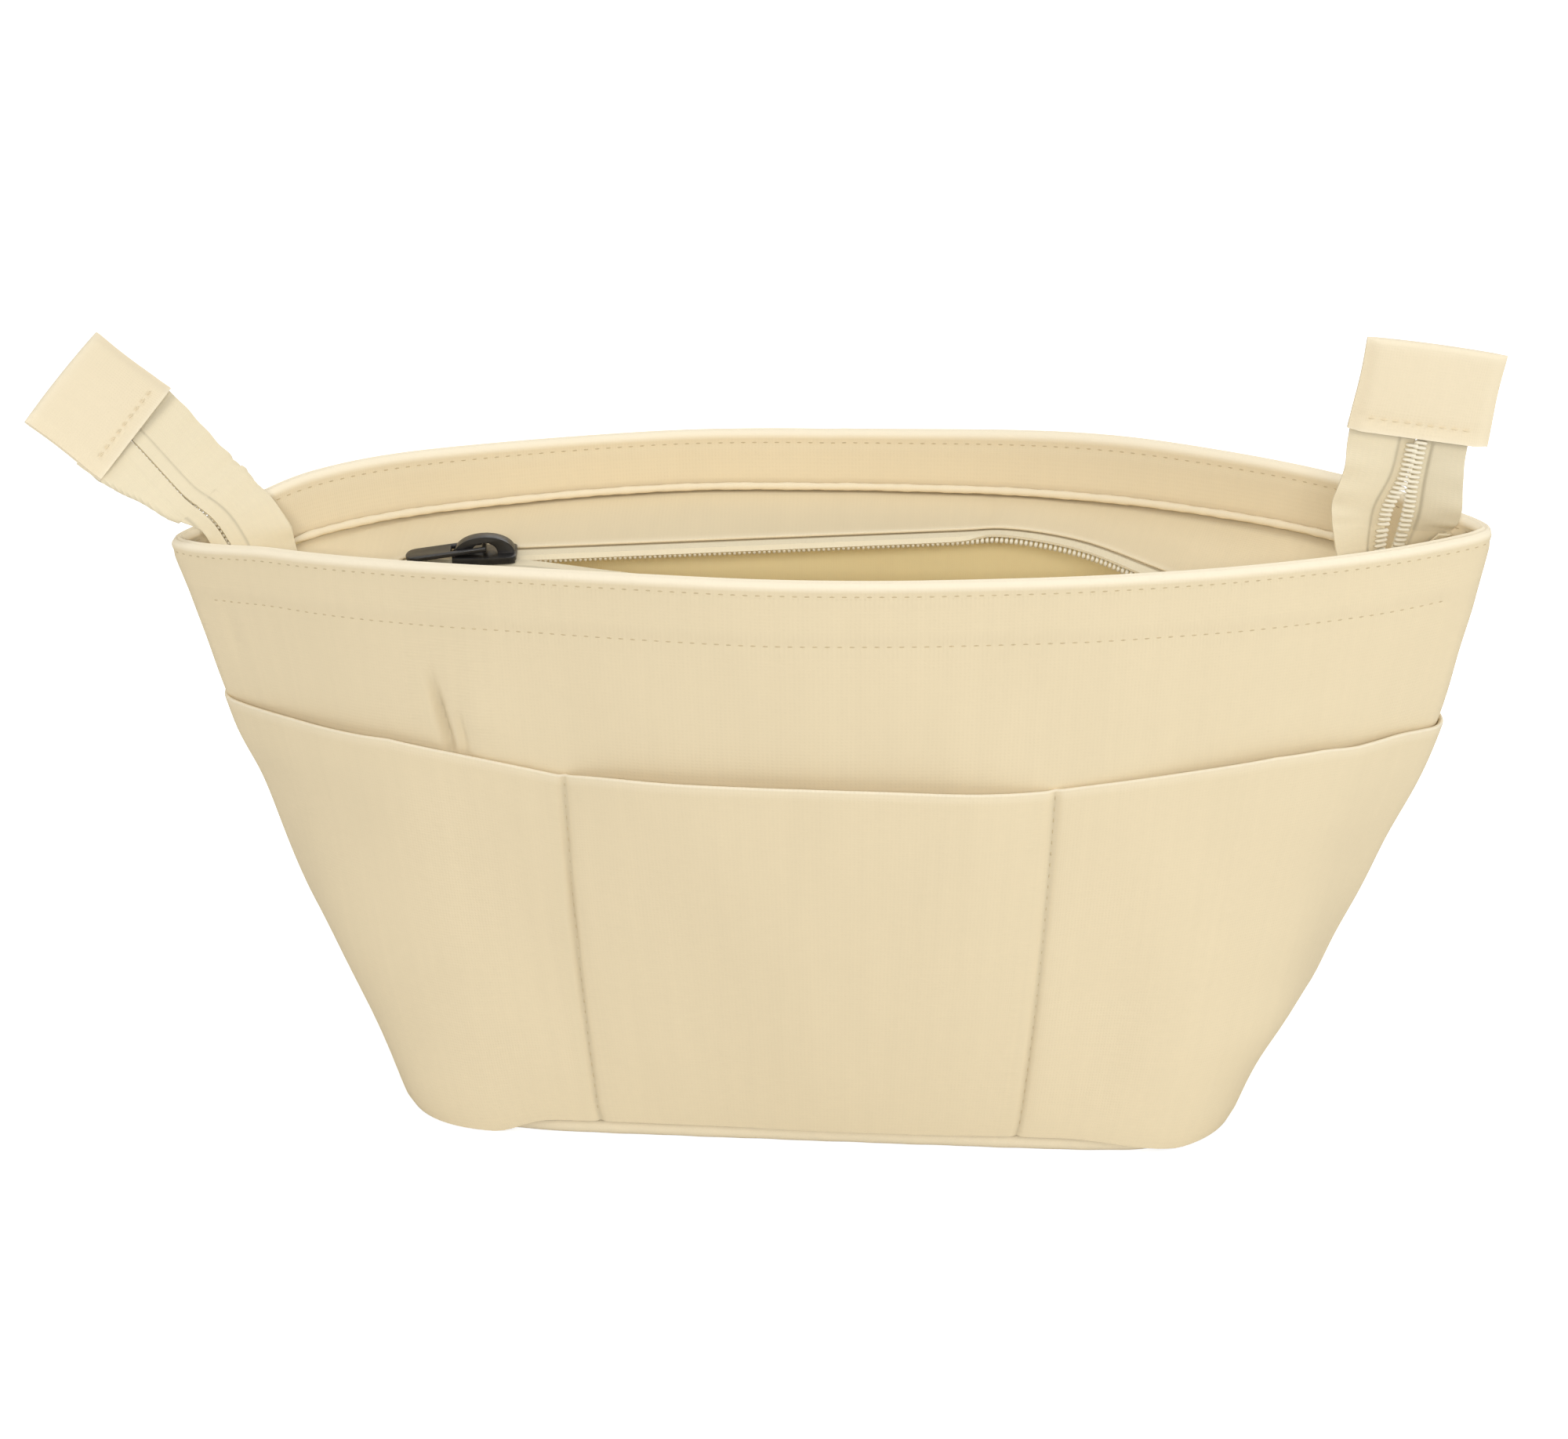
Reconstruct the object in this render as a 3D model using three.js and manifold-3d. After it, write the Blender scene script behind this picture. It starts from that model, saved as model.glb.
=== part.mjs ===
// Zip-top organizer insert in beige canvas, drawn as separate sewn pieces.
// Units are millimetres. Z is up, X runs along the length, the front wall faces -Y.
// The origin is the middle of the base underside.
import * as THREE from "three";
import Module from "manifold-3d";

// Body
const BASE_LENGTH = 207.5;
const BASE_DEPTH = 106;
const BASE_CORNER = 27.5;
const FOOT_TUCK = 2.5;
const FOOT_ROUND = 8;
const RIM_LENGTH = 324;
const RIM_DEPTH = 120;
const RIM_TIP_RADIUS = 9;
const WALL_HEIGHT = 150;
const RIM_DROP_LEFT = 10.8;
const RIM_DROP_RIGHT = 3.8;
const BACK_RIM_SAG = 2;
const BACK_RIM_LIFT = 2.6;
const WALL_SWELL = 0.77;

// Cloth layers
const SKIN = 0.9;
const CORE = 1.8;
const LINING = 0.7;
const FACING = 0.9;
const LAYER_GAP = 0.3;
const BASE_SKIN = 1;
const BASE_BOARD = 2;
const BASE_PIPING_HEIGHT = 3.6;
const BASE_PIPING_WIDTH = 2.4;
const SEAM_PIPING = 2;
const SEAM_DEPTH = 16;

// Outer pocket band
const POCKET_HEIGHT = 99;
const POCKET_LIFT_LEFT = 4.7;
const POCKET_LIFT_RIGHT = 1.5;
const POCKET_CLOTH = 0.9;
const POCKET_DIVIDER = 61;
const POCKET_GAPE = 6.2;
const POCKET_SIDE_GAPE = 2;

// Zip
const TAPE = 0.6;
const TAPE_WIDTH = 14;
const COIL_WIDTH = 2.5;
const COIL_HEIGHT = 2.2;
const PANEL = 0.9;
const PANEL_SETBACK = 6;
const SLIDER_INSET = 76;
const SLIDER_BACK = 10;
const SLIDER_DROP = 6.8;
const ZIP_RUN = 130;

// Slider and puller
const SLIDER_LENGTH = 16;
const SLIDER_WIDTH = 10.4;
const SLIDER_PLATE = 1.2;
const SLIDER_THROAT = 2.8;
const BRIDGE_HEIGHT = 4.4;
const BRIDGE_WIDTH = 3.6;
const BRIDGE_WALL = 1.5;
const PULLER_LENGTH = 20;
const PULLER_WIDTH = 7;
const PULLER_THICKNESS = 1.2;
const PULLER_SAG = 6;

// Zip tails
const TAIL_RISE_LEFT = 50.7;
const CAP_RISE_LEFT = 39.3;
const TAIL_TWIST_LEFT = 32;
const TAIL_INSET_LEFT = 3.6;
const TAIL_LIFT_LEFT = 8.5;
const TAIL_LEAN_RIGHT = 9.6;
const TAIL_TURN_RIGHT = 8;
const TAIL_INSET_RIGHT = 21.6;
const TAIL_LIFT_RIGHT = 3.2;
const TAIL_ROOT_LEFT = 7.4;
const TAIL_PART_BACK = 0.7;
const TAIL_PART_FRONT = 2.4;
const TAIL_LENGTH_LEFT = 19.3;
const TAIL_LENGTH_RIGHT = 19.5;
const CAP_WIDTH = 34;
const CAP_LENGTH = 23.5;
const CAP_THICKNESS = 2.8;

const ACROSS = 16;
const CANVAS = "#e4d3b0";
const LINING_COLOUR = "#ddc9a0";
const TAPE_COLOUR = "#e8d9b4";
const METAL_BLACK = "#1d1a16";

const wasm = await Module();
wasm.setup();
const root = new THREE.Group();
root.name = "purse_organizer_insert";

const vec = (x, y, z) => new THREE.Vector3(x, y, z);
const degrees = (angle) => THREE.MathUtils.degToRad(angle);
const mix = THREE.MathUtils.lerp;

// Every piece is one closed body: the winding is turned where it points inwards.
function closedBody(points, triangles) {
  let volume = 0;
  for (const [a, b, c] of triangles) {
    const crossed = new THREE.Vector3().crossVectors(points[b], points[c]);
    volume += points[a].dot(crossed);
  }
  const index = [];
  for (const [a, b, c] of triangles) {
    if (volume > 0) index.push(a, b, c);
    else index.push(a, c, b);
  }
  const geometry = new THREE.BufferGeometry().setFromPoints(points);
  geometry.setIndex(index);
  geometry.computeVertexNormals();
  return geometry;
}

function addPiece(name, geometry, colour, roughness = 0.95) {
  const material = new THREE.MeshStandardMaterial({ color: colour, roughness });
  const mesh = new THREE.Mesh(geometry, material);
  mesh.name = name;
  root.add(mesh);
}

// Two equal grids of points become the two faces of a cloth slab.
function slab(top, bottom) {
  const rows = top.length;
  const columns = top[0].length;
  const points = [...top.flat(), ...bottom.flat()];
  const under = rows * columns;
  const at = (i, j) => i * columns + j;
  const triangles = [];
  const quad = (a, b, c, d) => triangles.push([a, b, c], [a, c, d]);
  for (let i = 0; i < rows - 1; i++) {
    for (let j = 0; j < columns - 1; j++) {
      quad(at(i, j), at(i + 1, j), at(i + 1, j + 1), at(i, j + 1));
      quad(
        under + at(i, j),
        under + at(i, j + 1),
        under + at(i + 1, j + 1),
        under + at(i + 1, j),
      );
    }
  }
  const edge = [];
  for (let i = 0; i < rows - 1; i++) edge.push(at(i, 0));
  for (let j = 0; j < columns - 1; j++) edge.push(at(rows - 1, j));
  for (let i = rows - 1; i > 0; i--) edge.push(at(i, columns - 1));
  for (let j = columns - 1; j > 0; j--) edge.push(at(0, j));
  edge.forEach((a, k) => {
    const b = edge[(k + 1) % edge.length];
    quad(b, a, under + a, under + b);
  });
  return closedBody(points, triangles);
}

// A run of equal closed sections, flat capped unless the run itself closes.
function loft(sections, profile, looped = false) {
  const count = sections[0].length;
  const points = sections.flat();
  const triangles = [];
  const runs = looped ? sections.length : sections.length - 1;
  for (let i = 0; i < runs; i++) {
    const here = i * count;
    const next = ((i + 1) % sections.length) * count;
    for (let k = 0; k < count; k++) {
      const l = (k + 1) % count;
      triangles.push([here + k, here + l, next + l], [here + k, next + l, next + k]);
    }
  }
  if (!looped) {
    const last = (sections.length - 1) * count;
    for (const [a, b, c] of THREE.ShapeUtils.triangulateShape(profile, [])) {
      triangles.push([c, b, a], [last + a, last + b, last + c]);
    }
  }
  return closedBody(points, triangles);
}

const SQUARE = [
  [0, 0],
  [1, 0],
  [1, 1],
  [0, 1],
].map(([x, y]) => new THREE.Vector2(x, y));

// Outlines of half the foot and half the rim, from the middle of the front to the side seam
const halfRim = RIM_LENGTH / 2;
const rimArm = halfRim - RIM_TIP_RADIUS;
const rimRise = RIM_DEPTH / 2;
const rimRadius =
  (rimArm ** 2 + rimRise ** 2 - RIM_TIP_RADIUS ** 2) / (2 * (rimRise - RIM_TIP_RADIUS));
const rimTurn = Math.atan2(rimArm, rimRadius - rimRise);
const rimOutline = new THREE.Path()
  .moveTo(0, -rimRise)
  .absarc(0, rimRadius - rimRise, rimRadius, -Math.PI / 2, -Math.PI / 2 + rimTurn)
  .absarc(rimArm, 0, RIM_TIP_RADIUS, -Math.PI / 2 + rimTurn, 0);
function roundedHalf(inset) {
  const corner = BASE_CORNER - inset;
  const arm = BASE_LENGTH / 2 - BASE_CORNER;
  const depth = BASE_DEPTH / 2 - inset;
  return new THREE.Path()
    .moveTo(0, -depth)
    .lineTo(arm, -depth)
    .absarc(arm, corner - depth, corner, -Math.PI / 2, 0)
    .lineTo(arm + corner, 0);
}
const footOutline = roundedHalf(0);
const soleOutline = roundedHalf(FOOT_TUCK);
const rimHalfLength = rimOutline.getLength();
const wallFoot = BASE_SKIN + 0.8;
const fromRim = (distance) => 1 - distance / WALL_HEIGHT;
const fromFoot = (distance) => distance / WALL_HEIGHT;
const ease = (t) => t ** 3 * (4 - 3 * t);
// A bump of height 1 three quarters of the way to the seam, level at both ends
const shoulder = (t) => 90 * t ** 6 * (1 - t) ** 2;
const wallThickness = SKIN + CORE + LINING + 2 * LAYER_GAP;

// Outer face of the wall: s runs from the left seam (-1) to the right seam (1), v from foot to rim.
// It swells on the way up, tucks under at the foot, and the back rim hangs unevenly.
function wallPoint(s, v, back = false) {
  const beyond = Math.abs(s) > 1;
  const t = beyond ? 2 - Math.abs(s) : Math.abs(s);
  const side = s < 0 ? -1 : 1;
  const tucked = Math.max(0, 1 - v / fromFoot(FOOT_ROUND)) ** 2;
  const foot = footOutline.getPoint(t).lerp(soleOutline.getPoint(t), tucked);
  const spread = v + WALL_SWELL * v * (1 - v);
  const outline = foot.lerp(rimOutline.getPoint(t), spread);
  const drop = side < 0 ? RIM_DROP_LEFT : RIM_DROP_RIGHT;
  const hang = back ? BACK_RIM_LIFT * shoulder(t) - BACK_RIM_SAG * (1 - t * t) ** 2 : 0;
  return vec(
    side * outline.x,
    beyond ? -outline.y : outline.y,
    mix(wallFoot, WALL_HEIGHT - drop * ease(t), v) + hang * v * v,
  );
}

function wallNormal(s, v, back) {
  const step = 0.002;
  const along = wallPoint(s + step, v, back).sub(wallPoint(s - step, v, back));
  const up = wallPoint(s, v + step, back).sub(wallPoint(s, v - step, back));
  return along.cross(up).normalize();
}

function onWall(s, v, out, back = false) {
  const point = wallPoint(s, v, back).addScaledVector(wallNormal(s, v, back), out);
  if (back) point.y = -point.y;
  return point;
}

// Stations bunch up towards the side seams, where the rim turns tightest.
function seamStations(reach) {
  const list = [];
  for (let i = -ACROSS; i <= ACROSS; i++) {
    const t = 1 - (1 - Math.abs(i) / ACROSS) ** 1.5;
    list.push(Math.sign(i) * t * reach);
  }
  return list;
}
const seamReach = 1 - LAYER_GAP / 2 / rimHalfLength;
const fullStations = seamStations(seamReach);
const seamV = fromRim(SEAM_DEPTH);

function rows(from, to, count) {
  return Array.from({ length: count + 1 }, (_, j) => mix(from, to, j / count));
}

function wallLayer(back, outer, thickness, levels) {
  const face = (out) => fullStations.map((s) => levels.map((v) => onWall(s, v, out, back)));
  return slab(face(-outer), face(-outer - thickness));
}

const rimFold = FACING + LAYER_GAP;
const coreDepth = SKIN + LAYER_GAP;
const liningDepth = coreDepth + CORE + LAYER_GAP;
const facingDepth = liningDepth + FACING;
for (const [side, back] of [
  ["front", false],
  ["back", true],
]) {
  const roundTop = fromFoot(FOOT_ROUND);
  const liningLevels = [0, roundTop * 0.3, ...rows(roundTop * 0.7, seamV - fromFoot(0.5), 6)];
  const facingFoot = seamV + fromFoot(0.5);
  const levels = [...liningLevels, facingFoot, fromRim(rimFold)];
  addPiece(`${side}_wall_skin`, wallLayer(back, 0, SKIN, levels), CANVAS);
  addPiece(`${side}_wall_core`, wallLayer(back, coreDepth, CORE, levels), "#d9d2c2");
  const lining = wallLayer(back, liningDepth, LINING, liningLevels);
  addPiece(`${side}_wall_lining`, lining, LINING_COLOUR);

  // Rim facing: folded over the top of the wall and down the inside to the zip seam
  const corners = [
    [1, 0],
    [1, facingDepth],
    [facingFoot, facingDepth],
    [facingFoot, liningDepth],
    [fromRim(FACING), liningDepth],
    [fromRim(FACING), 0],
  ];
  const sections = fullStations.map((s) =>
    corners.map(([v, depth]) => onWall(s, v, -depth, back)),
  );
  const profile = corners.map(([v, depth]) => new THREE.Vector2(-depth, v * WALL_HEIGHT));
  addPiece(`${side}_rim_facing`, loft(sections, profile), CANVAS);

  // Piping rolled into the zip seam
  const piping = seamStations(0.84).map((s) => {
    const ring = [];
    for (let k = 0; k < 8; k++) {
      const angle = (k / 8) * 2 * Math.PI;
      const radius = SEAM_PIPING / 2;
      const depth = facingDepth + LAYER_GAP + radius + radius * Math.cos(angle);
      const level = seamV + fromFoot(0.9 + radius * Math.sin(angle));
      ring.push(onWall(s, level, -depth, back));
    }
    return ring;
  });
  const disc = piping[0].map((_, k) => {
    const angle = (k / 8) * 2 * Math.PI;
    return new THREE.Vector2(Math.cos(angle), Math.sin(angle));
  });
  addPiece(`${side}_seam_piping`, loft(piping, disc), CANVAS);
}

// Pocket band: the mouth gapes between the stitched dividers and near the side seams.
const dividerS = POCKET_DIVIDER / rimHalfLength;
const liftEnd = 0.6;
const pipingHeight = BASE_PIPING_HEIGHT / 2 + 0.15;
const pocketFoot = fromFoot(pipingHeight + BASE_PIPING_HEIGHT / 2 + 1 - wallFoot);
const pocketRises = [0, 0.045, ...rows(0.2, 1, 4)];
function pocketTop(s) {
  const lift = s < 0 ? POCKET_LIFT_LEFT : POCKET_LIFT_RIGHT;
  const share = THREE.MathUtils.smoothstep(Math.abs(s), dividerS, liftEnd);
  return fromFoot(POCKET_HEIGHT + lift * share);
}
function pocketGape(s, rise) {
  const t = Math.abs(s);
  const inMiddle = t < dividerS;
  const across = inMiddle ? t / dividerS : (t - dividerS) / (1 - dividerS);
  const bow = inMiddle ? 1 - across ** 4 : Math.sin(across * Math.PI) ** 2;
  return (inMiddle ? POCKET_GAPE : POCKET_SIDE_GAPE) * bow * rise ** 1.3;
}
for (const [side, back] of [
  ["front", false],
  ["back", true],
]) {
  const face = (out) =>
    fullStations.map((s) =>
      pocketRises.map((rise) => {
        const v = mix(pocketFoot, pocketTop(s), rise);
        return onWall(s, v, LAYER_GAP + pocketGape(s, rise) + out, back);
      }),
    );
  addPiece(`${side}_pocket_band`, slab(face(POCKET_CLOTH), face(0)), CANVAS);
}

// Base: skin, stiffening board, lining and the piping round its foot
function footShape(inset) {
  const shape = new THREE.Shape();
  const ring = [];
  const stations = seamStations(1);
  for (const s of stations) ring.push([s, false]);
  for (const s of stations.slice(1, -1).reverse()) ring.push([s, true]);
  ring.forEach(([s, back], k) => {
    const p = wallPoint(s, 0);
    const out = wallNormal(s, 0).setZ(0).normalize();
    const x = p.x - inset * out.x;
    const y = (back ? -1 : 1) * (p.y - inset * out.y);
    if (k) shape.lineTo(x, y);
    else shape.moveTo(x, y);
  });
  return shape;
}
function basePlate(inset, from, thickness) {
  const options = { depth: thickness, bevelEnabled: false };
  return new THREE.ExtrudeGeometry(footShape(inset), options).translate(0, 0, from);
}
addPiece("base_skin", basePlate(0, 0, BASE_SKIN), CANVAS);
const boardInset = wallThickness + 0.4;
const boardFrom = BASE_SKIN + LAYER_GAP;
addPiece("base_board", basePlate(boardInset, boardFrom, BASE_BOARD), "#d9d2c2");
const baseLiningFrom = boardFrom + BASE_BOARD + LAYER_GAP;
addPiece("base_lining", basePlate(boardInset, baseLiningFrom, LINING), LINING_COLOUR);

// A flattened roll that fills the tuck under the pocket band
const pipingSection = Array.from({ length: 8 }, (_, k) => {
  const angle = ((k + 0.5) / 8) * 2 * Math.PI;
  const z = pipingHeight + (BASE_PIPING_HEIGHT / 2) * Math.sin(angle);
  return [(BASE_PIPING_WIDTH / 2) * Math.cos(angle), z];
});
function pipingRing(s, back) {
  const foot = wallPoint(s, 0);
  const out = wallNormal(s, 0).setZ(0).normalize();
  const needs = pipingSection.map(([across, z]) => {
    const wall = wallPoint(s, fromFoot(Math.max(0, z - wallFoot)));
    return wall.sub(foot).dot(out) - across;
  });
  const clear = Math.max(...needs) + LAYER_GAP;
  return pipingSection.map(([across, z]) => {
    const point = foot.clone().addScaledVector(out, clear + across).setZ(z);
    if (back) point.y = -point.y;
    return point;
  });
}
const round = seamStations(1);
const pipingRings = [
  ...round.map((s) => pipingRing(s, false)),
  ...round
    .slice(1, -1)
    .reverse()
    .map((s) => pipingRing(s, true)),
];
addPiece("base_piping", loft(pipingRings, null, true), CANVAS);

// Zip line: the straight run of the back coil that the slider rides on
const seamHeight = wallPoint(0, seamV).z;
const sliderAt = vec(-halfRim + SLIDER_INSET, SLIDER_BACK, seamHeight - SLIDER_DROP);
const alongZip = vec(0.9937, 0.1085, 0.0287).normalize();
const acrossZip = vec(-alongZip.y, alongZip.x, 0).normalize();
const upZip = alongZip.clone().cross(acrossZip).normalize();
function zipPoint(along, across, up = 0) {
  return sliderAt
    .clone()
    .addScaledVector(alongZip, along)
    .addScaledVector(acrossZip, across)
    .addScaledVector(upZip, up);
}
const backLane = COIL_WIDTH / 2 + 1.5;
const frontLane = backLane - COIL_WIDTH - 0.75;

// Tails: direction up the tape, width direction towards the back half, and the hinge line
const twist = degrees(TAIL_TWIST_LEFT);
function leftFrame(rise) {
  const up = vec(-Math.cos(rise), 0, Math.sin(rise));
  const across = vec(Math.sin(rise), 0, Math.cos(rise))
    .multiplyScalar(Math.sin(twist))
    .add(vec(0, Math.cos(twist), 0));
  return { up, across };
}
const leftTape = leftFrame(degrees(TAIL_RISE_LEFT));
const leftCap = leftFrame(degrees(CAP_RISE_LEFT));
const leftTipHeight = WALL_HEIGHT - RIM_DROP_LEFT;
const leftHinge = vec(-halfRim + TAIL_INSET_LEFT, 0, leftTipHeight + TAIL_LIFT_LEFT);
const lean = degrees(TAIL_LEAN_RIGHT);
const turn = degrees(TAIL_TURN_RIGHT);
const rightUp = vec(Math.sin(lean), 0, Math.cos(lean));
const rightAcross = vec(Math.cos(lean), 0, -Math.sin(lean))
  .multiplyScalar(Math.cos(turn))
  .add(vec(0, Math.sin(turn), 0));
const rightTipHeight = WALL_HEIGHT - RIM_DROP_RIGHT;
const rightHinge = vec(halfRim - TAIL_INSET_RIGHT, 0, rightTipHeight + TAIL_LIFT_RIGHT);
const tailLane = COIL_WIDTH / 2 + LAYER_GAP / 2;
const parted = (back) => (back ? TAIL_PART_BACK : TAIL_PART_FRONT);
const lane = tailLane + COIL_WIDTH / 2 + LAYER_GAP;
const tailEdge = lane + TAPE_WIDTH - COIL_WIDTH / 2;

// Stations of the zip between its straight run and the tails. inset is taken from the rim tip, below
// from the zip seam, off from the middle of the bag. reach is the tape's width, seam the place on the
// wall where its panel is sewn, and width the direction across a stretch that has no panel.
const LEFT_CLIMB = [
  { inset: 9, off: 0, below: -6.1, backReach: 14.5, frontReach: 2.3, width: [0.6, 0.72, 0.35] },
  { inset: 13, off: 0, below: 0.2, backReach: 14, frontReach: 2.4, width: [0.74, 0.57, 0.36] },
  { inset: 16.1, off: 0, below: 7.5, backReach: 11, frontReach: 4, width: [0.7, 0.7, 0.15] },
  { inset: 23, off: 1.5, below: 12.7, backReach: 8.5, frontReach: 6.5, width: [0.3, 0.9, 0.25] },
];
const LEFT_DIP = [
  { inset: 33, off: 3.8, below: 14.6, backReach: 9, frontReach: 9, seam: -0.8 },
  { inset: 44, off: 6, below: 12.7, backReach: 11, frontReach: 11, seam: -0.71 },
  { inset: 53, off: 7.4, below: 9.6, backReach: 13, frontReach: 13, seam: -0.65 },
];
const RIGHT_DESCENT = [
  { inset: 100, off: 24.2, below: 5.1, reach: 14.5, seam: 0.37 },
  { inset: 82, off: 15.8, below: 8.8, reach: 14, seam: 0.5 },
  { inset: 62, off: 8, below: 14.6, reach: 11.5, seam: 0.64 },
  { inset: 48, off: 4.6, below: 18.2, reach: 9.5, seam: 0.73 },
];
const RIGHT_CLIMB = [
  { inset: 34.5, off: 3.3, below: 18.2, reach: 9, width: [0.1, 1, -0.1] },
  { inset: 26.2, off: 2.7, below: 9.2, reach: 9, width: [0.4, 0.92, 0] },
];
const RIGHT_TURN = { share: 0.42, spread: 0.7, reach: 10.5, width: [0.85, 0.5, -0.1] };
// The straight run: distance along, distance across, and place of the seam
const STRAIGHT_END = -16;
const BACK_STRAIGHT = [
  [0, backLane, -0.51],
  [30, backLane, -0.34],
  [62, backLane, -0.16],
  [95, backLane, 0.04],
  [ZIP_RUN - 10, backLane, 0.19],
  [ZIP_RUN, backLane, 0.26],
];
const FRONT_CLOSED = [-7.2, frontLane, -0.55];
const FRONT_THROAT = [
  [3.5, -2.75, -0.5],
  [8.6, -2.95, -0.46],
  [31, -13, -0.33],
  [60, -26, -0.16],
];
const FRONT_OPEN = [
  [92, -38, 0.04],
  [ZIP_RUN, -50, 0.26],
];
const FULL_REACH = 14.5;

// Each half of the zip is a list of stations: coil point, tape reach, and seam place or width direction.
function zipHalf(back) {
  const side = back ? 1 : -1;
  const chainHalf = tailLane + 0.25;
  const list = [];
  const add = (at, reach, seam, across) => list.push({ at, reach, seam, across });
  const outward = ([x, y, z]) => vec(x, y, z).multiplyScalar(side).normalize();
  const addRun = ([along, across, seam]) => add(zipPoint(along, across), FULL_REACH, seam);
  const addLeft = ({ inset, off, below, backReach, frontReach, width, seam }) => {
    const across = width ? outward(width) : vec(0, side, 0);
    const at = vec(-halfRim + inset, off, seamHeight - below).addScaledVector(across, chainHalf);
    add(at, back ? backReach : frontReach, seam, width && across);
  };
  const rightSpot = ({ inset, off, below }) =>
    vec(halfRim - inset, side * off, seamHeight - below);

  const leftRoot = leftHinge.clone().addScaledVector(leftTape.across, side * tailLane);
  const leftRootReach = (back ? tailEdge : TAIL_ROOT_LEFT) - tailLane;
  add(leftRoot, leftRootReach, null, leftTape.across.clone().multiplyScalar(side));
  LEFT_CLIMB.forEach(addLeft);
  LEFT_DIP.forEach(addLeft);
  addRun([STRAIGHT_END, back ? backLane : frontLane, -0.6]);
  const straight = back ? BACK_STRAIGHT : [FRONT_CLOSED, ...FRONT_THROAT, ...FRONT_OPEN];
  straight.forEach(addRun);
  for (const spot of RIGHT_DESCENT) add(rightSpot(spot), spot.reach, spot.seam);
  for (const spot of RIGHT_CLIMB) {
    const [x, y, z] = spot.width;
    add(rightSpot(spot), spot.reach, null, vec(x, side * y, z).normalize());
  }
  const turning = rightHinge.clone().lerp(rightSpot(RIGHT_CLIMB[1]), RIGHT_TURN.share);
  turning.addScaledVector(rightAcross, side * (RIGHT_TURN.spread + parted(back)));
  add(turning, RIGHT_TURN.reach, null, outward(RIGHT_TURN.width));
  const rootLane = tailLane + parted(back);
  const rightRoot = rightHinge.clone().addScaledVector(rightAcross, side * rootLane);
  add(rightRoot, 13, null, rightAcross.clone().multiplyScalar(side));
  for (const station of list) {
    if (station.across) continue;
    const aim = seamRoot(station.seam, back);
    aim.z -= 1.2;
    station.across = aim.sub(station.at).normalize();
  }
  return list;
}
function seamRoot(s, back) {
  const drop = fromFoot(SEAM_PIPING / 2 + LAYER_GAP + PANEL / 2 + 0.3);
  return onWall(s, seamV - drop, -(wallThickness + 0.5), back);
}

// A smooth run through the stations: point, width direction, face normal and reach at u
function runThrough(list) {
  const path = new THREE.CatmullRomCurve3(list.map((k) => k.at));
  const widths = new THREE.CatmullRomCurve3(list.map((k) => k.across));
  const last = list.length - 1;
  return (place) => {
    const u = THREE.MathUtils.clamp(place / last, 0, 1);
    const at = path.getPoint(u);
    const tangent = path.getTangent(u);
    const across = widths.getPoint(u).normalize();
    const face = tangent.clone().cross(across).normalize();
    const i = Math.min(Math.floor(u * last), last - 1);
    const reach = mix(list[i].reach, list[i + 1].reach, u * last - i);
    return { at, across, face, reach };
  };
}

function ribbon(run, from, to, pieces, inner, outer, thickness) {
  const sections = [];
  for (let k = 0; k <= pieces; k++) {
    const here = run(mix(from, to, k / pieces));
    const spot = (w, n) =>
      here.at.clone().addScaledVector(here.across, w).addScaledVector(here.face, n);
    const wide = outer === null ? here.reach : outer;
    const half = thickness / 2;
    sections.push([spot(inner, -half), spot(wide, -half), spot(wide, half), spot(inner, half)]);
  }
  return loft(sections, SQUARE);
}
const tapeInner = COIL_WIDTH / 2 + LAYER_GAP;

const backHalf = zipHalf(true);
const frontHalf = zipHalf(false);
const backRun = runThrough(backHalf);
const frontRun = runThrough(frontHalf);
const backEnd = backHalf.length - 1;
const frontEnd = frontHalf.length - 1;
const hingeGap = 0.03;
const coilHingeGap = 0.1;
function zipStretch(name, run, from, to, pieces, startGap, endGap) {
  const tape = ribbon(run, from + startGap[0], to - endGap[0], pieces, tapeInner, null, TAPE);
  addPiece(`${name}_zip_tape`, tape, TAPE_COLOUR);
  const edge = COIL_WIDTH / 2;
  const coil = ribbon(run, from + startGap[1], to - endGap[1], pieces, -edge, edge, COIL_HEIGHT);
  addPiece(`${name}_zip_coil`, coil, TAPE_COLOUR);
}
const atHinge = [hingeGap, coilHingeGap];
const atCut = [0.02, 0.02];
// The front half is cut where the slider parts it, since that stretch moves with the slider.
const throatStart = LEFT_CLIMB.length + LEFT_DIP.length + 2;
const throatEnd = throatStart + FRONT_THROAT.length;
zipStretch("back", backRun, 0, backEnd, 72, atHinge, atHinge);
zipStretch("front_left", frontRun, 0, throatStart, 28, atHinge, atCut);
zipStretch("front_throat", frontRun, throatStart, throatEnd, 16, atCut, atCut);
zipStretch("front_right", frontRun, throatEnd, frontEnd, 50, atCut, atHinge);

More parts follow.
